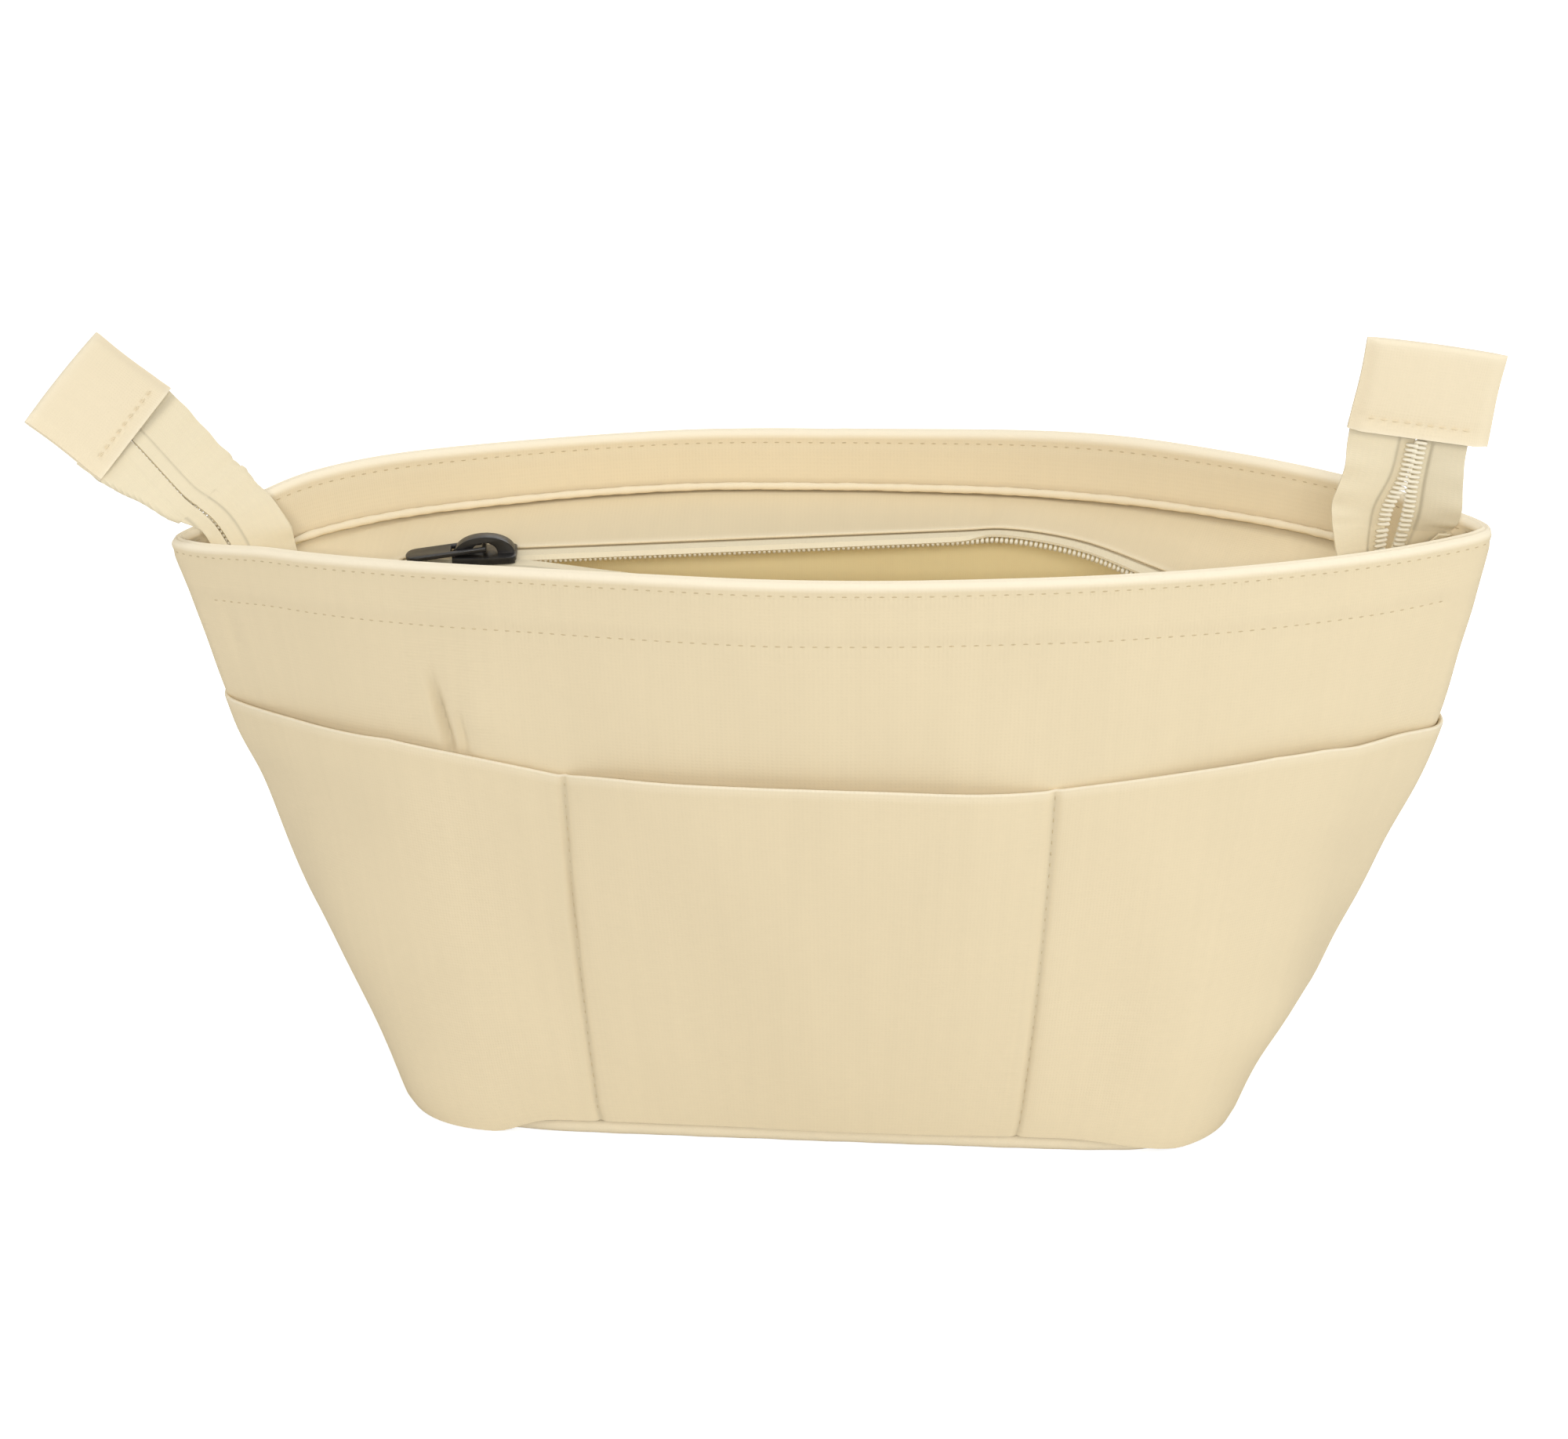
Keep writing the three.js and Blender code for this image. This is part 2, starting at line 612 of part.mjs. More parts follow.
// Zip panels: cloth strips from the seam under the facing to the set-back fold beside the coil
function zipPanel(list, run, back, pieces) {
  const seamed = list.map((station, i) => (station.across && !station.seam ? -1 : i));
  const from = Math.min(...seamed.filter((i) => i >= 0));
  const to = Math.max(...seamed);
  const top = [];
  const bottom = [];
  for (let k = 0; k <= pieces; k++) {
    const u = k / pieces;
    const place = mix(from, to, u);
    const i = Math.min(Math.floor(place), to - 1);
    const here = run(place);
    const up = here.face.clone().multiplyScalar(Math.sign(here.face.z) || 1);
    const fold = here.at.clone().addScaledVector(here.across, PANEL_SETBACK);
    fold.addScaledVector(up, TAPE / 2 + LAYER_GAP + PANEL / 2);
    const seam = seamRoot(mix(list[i].seam, list[i + 1].seam, place - i), back);
    const line = [0, 0.34, 0.67, 1].map((w) => seam.clone().lerp(fold, w));
    top.push(line.map((p) => p.clone().addScaledVector(up, PANEL / 2)));
    bottom.push(line.map((p) => p.clone().addScaledVector(up, -PANEL / 2)));
  }
  return slab(top, bottom);
}
addPiece("back_zip_panel", zipPanel(backHalf, backRun, true, 48), CANVAS);
addPiece("front_zip_panel", zipPanel(frontHalf, frontRun, false, 48), CANVAS);

// Tails: the tape ends outside the bag, each closed by a folded cloth cap that may lean off the tape
function tailRun(hinge, tape, cap, length) {
  const capFoot = hinge.clone().addScaledVector(tape.up, length);
  return (distance) => {
    const { up, across } = distance < length ? tape : cap;
    const at = capFoot.clone().addScaledVector(up, distance - length);
    return { at, across, face: up.clone().cross(across).normalize() };
  };
}
function tailStrip(run, marks, thickness) {
  const sections = marks.map(([distance, inner, outer]) => {
    const here = run(distance);
    const spot = (w, n) =>
      here.at.clone().addScaledVector(here.across, w).addScaledVector(here.face, n);
    const half = thickness / 2;
    return [spot(inner, -half), spot(outer, -half), spot(outer, half), spot(inner, half)];
  });
  return loft(sections, SQUARE);
}
const capWall = 0.8;
function tailCap(run, { up, across }, length) {
  const fold = new THREE.Shape();
  const half = CAP_THICKNESS / 2;
  const slot = half - capWall;
  fold.moveTo(0, -half);
  fold.lineTo(CAP_LENGTH - half, -half);
  fold.absarc(CAP_LENGTH - half, 0, half, -Math.PI / 2, Math.PI / 2);
  fold.lineTo(0, half);
  fold.lineTo(0, slot);
  fold.lineTo(CAP_LENGTH - half, slot);
  fold.lineTo(CAP_LENGTH - half, -slot);
  fold.lineTo(0, -slot);
  const options = { depth: CAP_WIDTH, bevelEnabled: false, curveSegments: 6 };
  const geometry = new THREE.ExtrudeGeometry(fold, options).translate(0, 0, -CAP_WIDTH / 2);
  const face = across.clone().cross(up).normalize();
  const frame = new THREE.Matrix4().makeBasis(up, face, across);
  frame.setPosition(run(length).at);
  return geometry.applyMatrix4(frame);
}
const tuck = 7;
const tailStart = 0.25;
const coilStart = 1.4;
const rightTape = { up: rightUp, across: rightAcross };
const leftRun = tailRun(leftHinge, leftTape, leftCap, TAIL_LENGTH_LEFT);
const rightRun = tailRun(rightHinge, rightTape, rightTape, TAIL_LENGTH_RIGHT);
const leftTop = TAIL_LENGTH_LEFT + tuck;
const rightTop = TAIL_LENGTH_RIGHT + tuck;
const coilTop = LAYER_GAP;
const leftCoilTop = TAIL_LENGTH_LEFT - 1;
const coilEdge = tailLane + COIL_WIDTH / 2;
const leftTapeBack = [
  [tailStart, lane, tailEdge],
  [TAIL_LENGTH_LEFT, lane, tailEdge],
  [leftTop, lane, tailEdge],
];
const leftTapeFront = [
  [tailStart, -TAIL_ROOT_LEFT, -lane],
  [TAIL_LENGTH_LEFT, -tailEdge, -lane],
  [leftTop, -tailEdge, -lane],
];
const leftCoil = [
  [coilStart, -coilEdge, coilEdge],
  [leftCoilTop, -coilEdge, coilEdge],
];
addPiece("left_tail_tape_back", tailStrip(leftRun, leftTapeBack, TAPE), TAPE_COLOUR);
addPiece("left_tail_tape_front", tailStrip(leftRun, leftTapeFront, TAPE), TAPE_COLOUR);
addPiece("left_tail_coil", tailStrip(leftRun, leftCoil, COIL_HEIGHT), TAPE_COLOUR);
addPiece("left_tail_cap", tailCap(leftRun, leftCap, TAIL_LENGTH_LEFT), CANVAS);

const rightCoilTop = TAIL_LENGTH_RIGHT - coilTop;
for (const [half, side] of [
  ["back", 1],
  ["front", -1],
]) {
  const strip = (marks, thickness) => {
    const placed = marks.map(([distance, a, b]) => {
      const low = Math.min(side * a, side * b);
      const high = Math.max(side * a, side * b);
      return [distance, low, high];
    });
    return tailStrip(rightRun, placed, thickness);
  };
  const inner = tailLane - COIL_WIDTH / 2;
  const apart = parted(half === "back");
  const tapeMarks = [
    [tailStart, lane + apart, tailEdge - 1],
    [TAIL_LENGTH_RIGHT * 0.5, lane, tailEdge],
    [rightTop, lane, tailEdge],
  ];
  addPiece(`right_tail_tape_${half}`, strip(tapeMarks, TAPE), TAPE_COLOUR);
  const coilMarks = [
    [coilStart, inner + apart, coilEdge + apart],
    [TAIL_LENGTH_RIGHT * 0.5, inner, coilEdge],
    [rightCoilTop, inner, coilEdge],
  ];
  addPiece(`right_tail_coil_${half}`, strip(coilMarks, COIL_HEIGHT), TAPE_COLOUR);
}
addPiece("right_tail_cap", tailCap(rightRun, rightTape, TAIL_LENGTH_RIGHT), CANVAS);

// Slider: two plates on a wedge, side flanges, and an arched bridge that holds the puller
function asSolid(geometry) {
  const flat = geometry.index ? geometry.toNonIndexed() : geometry;
  const spots = flat.getAttribute("position");
  const mesh = new wasm.Mesh({
    numProp: 3,
    vertProperties: new Float32Array(spots.array),
    triVerts: Uint32Array.from({ length: spots.count }, (_, i) => i),
  });
  mesh.merge();
  return new wasm.Manifold(mesh);
}
function asGeometry(solid) {
  const mesh = solid.getMesh();
  const points = [];
  for (let i = 0; i < mesh.vertProperties.length; i += mesh.numProp) {
    points.push(vec(mesh.vertProperties[i], mesh.vertProperties[i + 1], mesh.vertProperties[i + 2]));
  }
  const triangles = [];
  for (let i = 0; i < mesh.triVerts.length; i += 3) {
    triangles.push([mesh.triVerts[i], mesh.triVerts[i + 1], mesh.triVerts[i + 2]]);
  }
  return closedBody(points, triangles);
}
function box(x0, x1, y0, y1, z0, z1) {
  return new THREE.BoxGeometry(x1 - x0, y1 - y0, z1 - z0).translate(
    (x0 + x1) / 2,
    (y0 + y1) / 2,
    (z0 + z1) / 2,
  );
}
const zipFrame = new THREE.Matrix4().makeBasis(alongZip, acrossZip, upZip).setPosition(sliderAt);

function plateShape() {
  const l = SLIDER_LENGTH / 2;
  const w = SLIDER_WIDTH / 2;
  const nose = w * 0.62;
  const shape = new THREE.Shape();
  shape.moveTo(l - 2, -w);
  shape.quadraticCurveTo(l, -w, l, -w + 2);
  shape.lineTo(l, w - 2);
  shape.quadraticCurveTo(l, w, l - 2, w);
  shape.lineTo(-l * 0.2, w);
  shape.quadraticCurveTo(-l * 0.7, w, -l, nose + 1.2);
  shape.lineTo(-l, -nose - 1.2);
  shape.quadraticCurveTo(-l * 0.7, -w, -l * 0.2, -w);
  return shape;
}
const throat = SLIDER_THROAT / 2;
const plateTop = throat + SLIDER_PLATE;
const tapeSlot = throat - 0.45;
const block = new THREE.ExtrudeGeometry(plateShape(), {
  depth: 2 * plateTop,
  bevelEnabled: false,
  curveSegments: 5,
}).translate(0, 0, -plateTop);
const far = SLIDER_LENGTH;
const laneWall = SLIDER_WIDTH / 2 - 0.8;
const wedge = new THREE.Shape();
wedge.moveTo(SLIDER_LENGTH * 0.15, 0);
wedge.lineTo(SLIDER_LENGTH * 0.26, -1.1);
wedge.lineTo(SLIDER_LENGTH * 0.45, -1.1);
wedge.lineTo(SLIDER_LENGTH * 0.45, 1.1);
wedge.lineTo(SLIDER_LENGTH * 0.26, 1.1);
const wedgePost = new THREE.ExtrudeGeometry(wedge, {
  depth: 2 * throat + 0.6,
  bevelEnabled: false,
}).translate(0, 0, -throat - 0.3);
const arch = new THREE.Shape();
const archHalf = SLIDER_LENGTH / 2 - 0.4;
arch.moveTo(archHalf, 0);
arch.absellipse(0, 0, archHalf, BRIDGE_HEIGHT, 0, Math.PI);
arch.lineTo(-archHalf, -0.6);
arch.lineTo(archHalf, -0.6);
const holeHalf = 3.4;
const archHole = new THREE.Path();
archHole.moveTo(holeHalf, 0);
archHole.absellipse(0, 0, holeHalf, BRIDGE_HEIGHT - BRIDGE_WALL, 0, Math.PI);
archHole.lineTo(holeHalf, 0);
arch.holes.push(archHole);
const bridge = new THREE.ExtrudeGeometry(arch, {
  depth: BRIDGE_WIDTH,
  bevelEnabled: false,
  curveSegments: 14,
})
  .translate(0, 0, -BRIDGE_WIDTH / 2)
  .rotateX(Math.PI / 2)
  .translate(0, 0, plateTop);
const body = asSolid(block)
  .subtract(asSolid(box(-far, far, -laneWall, laneWall, -throat, throat)))
  .subtract(asSolid(box(-far, far, -far, far, -tapeSlot, tapeSlot)))
  .add(asSolid(wedgePost))
  .add(asSolid(bridge));
addPiece("zip_slider_body", asGeometry(body).applyMatrix4(zipFrame), METAL_BLACK, 0.4);

// Puller: an eye whose bar lies under the bridge, two arms and a flat tab that lies to the left
const barHeight = plateTop + 1.6;
const barHalf = PULLER_THICKNESS / 2;
const armStart = BRIDGE_WIDTH / 2 + 0.5;
const tabStart = Math.hypot(archHalf, barHeight - plateTop) + 0.7;
const tabHalf = PULLER_WIDTH / 2;
const tabEnd = PULLER_LENGTH;
const tab = new THREE.Shape();
tab.moveTo(barHalf, -tabHalf);
tab.lineTo(barHalf, tabHalf);
tab.lineTo(-tabEnd + 3, tabHalf);
tab.quadraticCurveTo(-tabEnd, tabHalf, -tabEnd, 0);
tab.quadraticCurveTo(-tabEnd, -tabHalf, -tabEnd + 3, -tabHalf);
const eye = new THREE.Path();
eye.moveTo(-barHalf, -armStart);
eye.lineTo(-tabStart, -armStart);
eye.lineTo(-tabStart, armStart);
eye.lineTo(-barHalf, armStart);
tab.holes.push(eye);
const puller = new THREE.ExtrudeGeometry(tab, {
  depth: PULLER_THICKNESS,
  bevelEnabled: false,
  curveSegments: 6,
})
  .translate(0, 0, -PULLER_THICKNESS / 2)
  .rotateY(-degrees(PULLER_SAG))
  .translate(0, 0, barHeight)
  .applyMatrix4(zipFrame);
addPiece("zip_puller", puller, METAL_BLACK, 0.4);

export default root;
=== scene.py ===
import math

import bpy
import numpy as np
from mathutils import Matrix, Vector


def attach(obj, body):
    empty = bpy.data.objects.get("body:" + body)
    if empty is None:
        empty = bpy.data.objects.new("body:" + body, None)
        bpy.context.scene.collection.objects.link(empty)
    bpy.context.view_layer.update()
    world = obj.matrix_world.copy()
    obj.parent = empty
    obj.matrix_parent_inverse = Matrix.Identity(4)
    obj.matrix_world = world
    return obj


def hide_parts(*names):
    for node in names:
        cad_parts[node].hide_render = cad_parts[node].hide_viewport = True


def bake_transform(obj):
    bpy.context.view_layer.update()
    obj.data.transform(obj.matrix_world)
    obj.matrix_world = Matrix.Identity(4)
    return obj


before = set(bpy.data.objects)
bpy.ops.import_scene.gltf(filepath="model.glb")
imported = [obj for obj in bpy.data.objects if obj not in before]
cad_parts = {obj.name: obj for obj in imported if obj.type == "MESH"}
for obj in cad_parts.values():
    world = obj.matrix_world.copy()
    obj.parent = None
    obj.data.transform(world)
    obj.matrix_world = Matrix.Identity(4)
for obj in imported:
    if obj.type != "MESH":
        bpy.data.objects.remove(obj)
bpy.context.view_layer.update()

bl_info = {
    "name": "Purse organizer insert",
    "version": (1, 0, 0),
    "blender": (4, 5, 0),
    "location": "View3D > Sidebar > Organizer",
    "description": "Sews a zip-top canvas organizer insert piece by piece around its solid frame",
    "category": "Object",
}

MM = 0.001
SIDES = (("front", False), ("back", True))
TAILS = (("left", True), ("right", False))
FRONT_TO_BACK = np.array([1, -1, 1])

# Waves of the slack wall: height in mm, waves along s and up v, and how often its phase counts.
WAVES = ((0.8, 6.3, 2.0, 1), (0.4, 13.0, -5.0, 2), (0.16, 29.0, 9.0, 3))
# Swells that draw the sides straight: height in mm, level on the wall, spread.
LEFT_SWELLS = ((1.3, 0.28, 0.14), (-2.7, 0.56, 0.16), (-1.2, 0.8, 0.1), (0.9, 0.61, 0.06))
RIGHT_SWELLS = ((2.0, 0.17, 0.07), (-1.2, 0.44, 0.09), (-0.6, 0.78, 0.07))

# Thread pitch of the cloths.
CANVAS_PITCH = 0.62 * MM
LINING_PITCH = 0.45 * MM
TAPE_PITCH = 0.5 * MM

# A wave texture has this many bands in 2 pi times its scale.
WAVE_BANDS = 20

MERGE_DISTANCE = 0.01 * MM
# Lowest point of the pocket cloth, which rests on the floor at the corners.
FLOOR_CLEARANCE = 0.3 * MM
# Corners of a rolled piping, and the share of the base roll that is hidden at the corners.
ROLL_CORNERS = 15
ROLL_HIDDEN = 0.72
# Thickness of a cap's cloth, and height of its stitches above the cap's foot.
CAP_CLOTH = 0.6 * MM
CAP_STITCH = 3.6 * MM

# The zip's heading at the slider.
ZIP_HEADING = (0.9937, 0.1085, 0.0287)
# Stations of the zip between the left tail and the slider, in mm: distance from the left tip, off
# the middle, below the zip seam, reach of the back tape and of the front tape, place on the seam,
# width direction.
LEFT_STATIONS = (
    (9, 0, -6.1, 14.5, 2.3, None, (0.6, 0.72, 0.35)),
    (13, 0, 0.2, 15, 2.4, None, (0.84, 0.51, 0.12)),
    (16.1, 0, 7.5, 14, 4, None, (0.8, 0.6, 0.05)),
    (23, 1.5, 12.7, 8.5, 6.5, None, (0.3, 0.9, 0.25)),
    (33, 3.8, 14.6, 9, 9, -0.8, None),
    (44, 6, 12.7, 11, 11, -0.71, None),
    (53, 7.4, 9.6, 13, 13, -0.65, None),
)
# Stations between the straight run and the right tail, in mm: distance from the right tip, off the
# middle, below the zip seam, reach of the tape, place on the seam, width direction.
RIGHT_STATIONS = (
    (100, 24.2, 5.1, 14.5, 0.37, None),
    (82, 15.8, 8.8, 14, 0.5, None),
    (62, 8, 14.6, 11.5, 0.64, None),
    (48, 4.6, 18.2, 9.5, 0.73, None),
    (34.5, 3.3, 18.2, 9, None, (0.1, 1, -0.1)),
    (26.2, 2.7, 9.2, 9, None, (0.4, 0.92, 0)),
)
# Reach of the tapes in mm: along the straight run, where the right tail turns up, and on that tail.
STRAIGHT_REACH = 14.5
TURNING_REACH = 10.5
RIGHT_REACH = 13
RIGHT_BACK_REACH = 11
# Where the right tail turns up, as a share of the way from its fold to the last station.
TURNING_SHARE = 0.42
# How far each half lies off the middle where the right tail starts.
PARTED = {True: 0.7 * MM, False: 2.8 * MM}
# How far the tape aims below its root in the seam, and how far the panel is pushed up over it.
TAPE_UNDER = np.array([0, 0, 1.2 * MM])
PANEL_OVER = np.array([0, 0, 1.2 * MM])

# The camera: yaw, pitch and roll in degrees, lens and sensor in mm, place in metres.
CAMERA_TURN = (-6.209, 22.624, -0.853)
CAMERA_LENS = 96.64
CAMERA_SPOT = (0.0952, -0.9679, 0.4964)
SENSOR_WIDTH = 36

# Lamps: name, place, power in watts, width, height, tint.
LAMPS = (
    ("right", (1.6, -0.45, 0.6), 9.8, 1.0, 1.0, (0.95, 0.98, 1)),
    ("left", (-1.6, -0.45, 0.9), 6.8, 1.0, 1.0, (1, 1, 1)),
    ("front", (0.1, -1.7, 0.81), 15, 1.2, 0.15, (1, 1, 1)),
    ("top", (0.1, 0.3, 1.7), 7.6, 1.2, 1.2, (1, 1, 1)),
    ("back", (0.2, 1.7, 0.7), 6, 1.2, 0.6, (1, 1, 1)),
)
LAMP_AIM = (0, 0, 0.08)
# Strength of the light from all sides, of the floor's own white and of the glow painted into the
# lining as light through the walls.
FILL_LIGHT = 0.33
FLOOR_GLOW = 0.7
LINING_GLOW = 0.04


def length(name, millimetres, description):
    return bpy.props.FloatProperty(
        name=name, description=description, default=millimetres * MM, unit="LENGTH", precision=5
    )


def turn(name, degrees, description):
    return bpy.props.FloatProperty(
        name=name, description=description, default=math.radians(degrees), subtype="ANGLE"
    )


def shade(name, red, green, blue, description):
    def linear(level):
        part = level / 255
        return part / 12.92 if part <= 0.04045 else ((part + 0.055) / 1.055) ** 2.4

    return bpy.props.FloatVectorProperty(
        name=name,
        description=description,
        default=(linear(red), linear(green), linear(blue), 1),
        size=4,
        min=0,
        max=1,
        subtype="COLOR",
    )


class OrganizerBody(bpy.types.PropertyGroup):
    """Sizes of the walls, the base and the pockets."""

    base_length: length("Base length", 207.5, "Length of the wall just above the base")
    base_depth: length("Base depth", 106, "Depth of the wall just above the base")
    base_corner: length("Base corner", 27.5, "Corner radius of the base")
    foot_tuck: length("Foot tuck", 2.5, "How far the wall tucks under at its foot")
    foot_round: length("Foot round", 8, "Height over which the wall tucks under")
    rim_length: length("Rim length", 324, "Length of the rim from tip to tip")
    rim_depth: length("Rim depth", 120, "Depth of the rim at its middle")
    rim_tip: length("Rim tip", 9, "Radius of the rim where front and back meet")
    wall_height: length("Wall height", 150, "Height of the rim at the middle of the front")
    wall_foot: length("Wall foot", 1.8, "Height at which the wall cloth starts")
    drop_left: length("Left drop", 10.8, "How far the left tip hangs below the middle of the rim")
    drop_right: length("Right drop", 3.8, "How far the right tip hangs below the middle of the rim")
    back_sag: length("Back sag", 2, "How far the back rim sags at its middle")
    back_lift: length("Back lift", 2.6, "How far the back rim lifts towards its ends")
    tip_settle: length("Tip settle", 3.2, "How far the soft left tip has sunk further")
    back_rise: length("Back rise", 2.7, "How far the soft back rim stands up at its two crests")
    wall_swell: bpy.props.FloatProperty(
        name="Wall swell", description="How early the wall spreads on its way up", default=0.77
    )
    skin: length("Skin", 0.9, "Thickness of the outer canvas")
    wall: length("Wall", 4.2, "Thickness of the whole wall at the rim")
    lining: length("Lining", 0.7, "Thickness of the lining")
    lining_depth: length("Lining depth", 3.3, "Depth of the lining below the outer face")
    seam_depth: length("Seam depth", 16, "Distance of the zip seam below the rim")
    top_stitch: length("Top stitch", 3.3, "Distance of the top stitching below the rim")
    seam_roll: length("Seam piping", 2, "Diameter of the piping in the zip seam")
    base_roll_height: length("Base roll height", 3.6, "Height of the flat roll round the base")
    base_roll_width: length("Base roll width", 2.4, "Width of the flat roll round the base")
    pocket_height: length("Pocket height", 99.4, "Height of the pocket edge at the middle")
    pocket_lift_left: length("Left pocket lift", 4.1, "Lift of the pocket edge at the left")
    pocket_lift_right: length("Right pocket lift", 1.9, "Lift of the pocket edge at the right")
    pocket_dip_left: length("Left pocket dip", 2.1, "Dip of the pocket edge at the left divider")
    pocket_dip_right: length("Right pocket dip", 3.1, "Dip of the pocket edge at the right divider")
    pocket_divider: length("Pocket divider", 61, "Distance of each divider from the middle")
    pocket_gape: length("Pocket gape", 3.8, "How far the middle pocket stands open")
    pocket_side_gape: length("Side gape", 2, "How far the side pockets stand open")
    pocket_fold: length("Pocket fold", 0.6, "Radius of the fold along the pocket edge")
    stitch: length("Stitch", 1.8, "Length of one stitch")
    stitch_pitch: length("Stitch pitch", 2.9, "Distance from one stitch to the next")


class OrganizerZip(bpy.types.PropertyGroup):
    """Sizes of the zip, its tails and their caps."""

    tape: length("Tape", 0.6, "Thickness of the zip tape")
    tape_width: length("Tape width", 14, "Width of one tape beside its coil")
    coil_width: length("Coil width", 2.5, "Width of one coil")
    coil_height: length("Coil height", 1.5, "Height of one coil")
    tooth_pitch: length("Tooth pitch", 1.25, "Distance from one tooth to the next")
    panel: length("Panel", 0.9, "Thickness of the zip panels")
    panel_setback: length("Panel setback", 6, "Distance from the coil to the fold of the panel")
    slider_inset: length("Slider inset", 76, "Distance of the slider from the left tip")
    slider_back: length("Slider back", 10, "Distance of the slider behind the middle")
    slider_drop: length("Slider drop", 6.8, "Distance of the slider below the zip seam")
    zip_run: length("Zip run", 130, "Straight run of the zip from the slider")
    left_rise: turn("Left tail rise", 50.7, "Angle of the left tail above the level")
    left_cap_rise: turn("Left cap rise", 39.3, "Angle of the left cap above the level")
    left_twist: turn("Left tail twist", 32, "Twist of the left tail about its length")
    right_lean: turn("Right tail lean", 9.6, "Lean of the right tail from upright")
    right_turn: turn("Right tail turn", 8, "Turn of the right tail about its length")
    left_inset: length("Left tail inset", 3.6, "Distance of the left tail from the tip")
    left_lift: length("Left tail lift", 8.5, "Height of the left tail's fold above the tip")
    left_narrow: length("Left tail root", 7.4, "Width of the left tail's front tape at its root")
    right_inset: length("Right tail inset", 21.6, "Distance of the right tail from the tip")
    right_lift: length("Right tail lift", 3.2, "Height of the right tail's fold above the tip")
    left_length: length("Left tail", 19.3, "Length of the left tail below its cap")
    right_length: length("Right tail", 19.5, "Length of the right tail below its cap")
    cap_width: length("Cap width", 34, "Width of the folded caps")
    cap_length: length("Cap length", 23.5, "Length of the folded caps")
    cap_thickness: length("Cap thickness", 2.8, "Thickness of the folded caps")


class OrganizerColours(bpy.types.PropertyGroup):
    """Colours of the cloth, the zip and the metal."""

    canvas: shade("Canvas", 230, 213, 178, "Outer canvas")
    # Pale colour of folded edges: partly rubbed cloth, partly painted highlight where the folds
    # catch the light.
    wear_and_shading: shade("Worn edge", 248, 236, 210, "Canvas along folded edges")
    lining: shade("Lining", 254, 237, 186, "Lining cloth")
    tape: shade("Zip tape", 236, 223, 192, "Zip tape")
    coil: shade("Zip coil", 243, 234, 210, "Nylon coil")
    thread: shade("Thread", 204, 184, 146, "Sewing thread")
    metal: shade("Black metal", 15, 13, 11, "Enamelled slider and puller")
    metal_worn: shade("Worn metal", 46, 42, 37, "Slider edges where the enamel is rubbed")
    floor: shade("Floor", 218, 218, 218, "Studio floor")


def body_sizes():
    return bpy.context.scene.organizer_body


def zip_sizes():
    return bpy.context.scene.organizer_zip


def colours():
    return bpy.context.scene.organizer_colours


def smooth(low, high, value):
    """Eases from 0 at the low value to 1 at the high one."""
    share = np.clip((value - low) / (high - low), 0, 1)
    return share * share * (3 - 2 * share)


def hollow(distance, width):
    """A bell curve: 1 at no distance, fading out over the width."""
    return np.exp(-((distance / width) ** 2))


def unit(rows):
    return rows / np.linalg.norm(rows, axis=-1, keepdims=True)


def rim_arcs():
    """Half the rim's arcs: tip radius, tip centre, half depth, wide radius and its sweep."""
    size = body_sizes()
    tip = size.rim_tip
    arm = size.rim_length / 2 - tip
    rise = size.rim_depth / 2
    radius = (arm**2 + rise**2 - tip**2) / (2 * (rise - tip))
    return tip, arm, rise, radius, math.atan2(arm, radius - rise)


def rim_half_length():
    tip, _, _, radius, sweep = rim_arcs()
    return radius * sweep + tip * (math.pi / 2 - sweep)


def rim_outline(t):
    """Half the rim from the middle to the side seam: a wide arc, then the tight tip."""
    tip, arm, rise, radius, sweep = rim_arcs()
    wide = radius * sweep
    run = t * rim_half_length()
    angle = np.minimum(run, wide) / radius
    corner = sweep + np.maximum(run - wide, 0) / tip
    in_tip = run > wide
    x = np.where(in_tip, arm + tip * np.sin(corner), radius * np.sin(angle))
    y = np.where(in_tip, -tip * np.cos(corner), radius - rise - radius * np.cos(angle))
    return x, y


def foot_outline(t, inset=0.0):
    """Half the base outline from the middle to the side seam, drawn in by the inset."""
    size = body_sizes()
    corner = size.base_corner - inset
    arm = size.base_length / 2 - size.base_corner
    side = size.base_depth / 2 - size.base_corner
    bend = corner * math.pi / 2
    run = t * (arm + bend + side)
    angle = np.clip((run - arm) / corner, 0, math.pi / 2)
    x = np.minimum(run, arm) + corner * np.sin(angle)
    y = np.maximum(run - arm - bend, 0) - side - corner * np.cos(angle)
    return x, y


def wall_spot(s, v, back=False):
    """Outer face of a wall: s from the left seam (-1) to the right (1), v from foot to rim."""
    size = body_sizes()
    reach = np.abs(s)
    beyond = reach > 1
    t = np.where(beyond, 2 - reach, reach)
    side = np.where(s < 0, -1.0, 1.0)
    tucked = np.maximum(0, 1 - v / share_of_height(size.foot_round)) ** 2
    spread = v + size.wall_swell * v * (1 - v)
    outline = []
    for foot, sole, rim in zip(foot_outline(t), foot_outline(t, size.foot_tuck), rim_outline(t)):
        low = foot + (sole - foot) * tucked
        outline.append(low + (rim - low) * spread)
    # Both tips hang below the middle of the rim, and the left one has sunk a little more.
    ease = t**3 * (4 - 3 * t)
    drop = np.where(s < 0, size.drop_left, size.drop_right) * ease
    z = size.wall_foot + (size.wall_height - drop - size.wall_foot) * v
    z = z - np.where(s < 0, size.tip_settle, 0) * smooth(0.78, 1, t) * v * v
    if back:
        # The back rim sags at its middle, lifts at its shoulders and stands up at two crests.
        shoulder = 90 * t**6 * (1 - t) ** 2
        z = z + (size.back_lift * shoulder - size.back_sag * (1 - t * t) ** 2) * v * v
        crests = np.where(s < 0, hollow(t - 0.78, 0.3) * v * v, hollow(t - 0.4, 0.24) * v**6)
        z = z + size.back_rise * crests * (1 - t**8)
    return np.stack([side * outline[0], outline[1] * np.where(beyond, -1.0, 1.0), z], axis=-1)


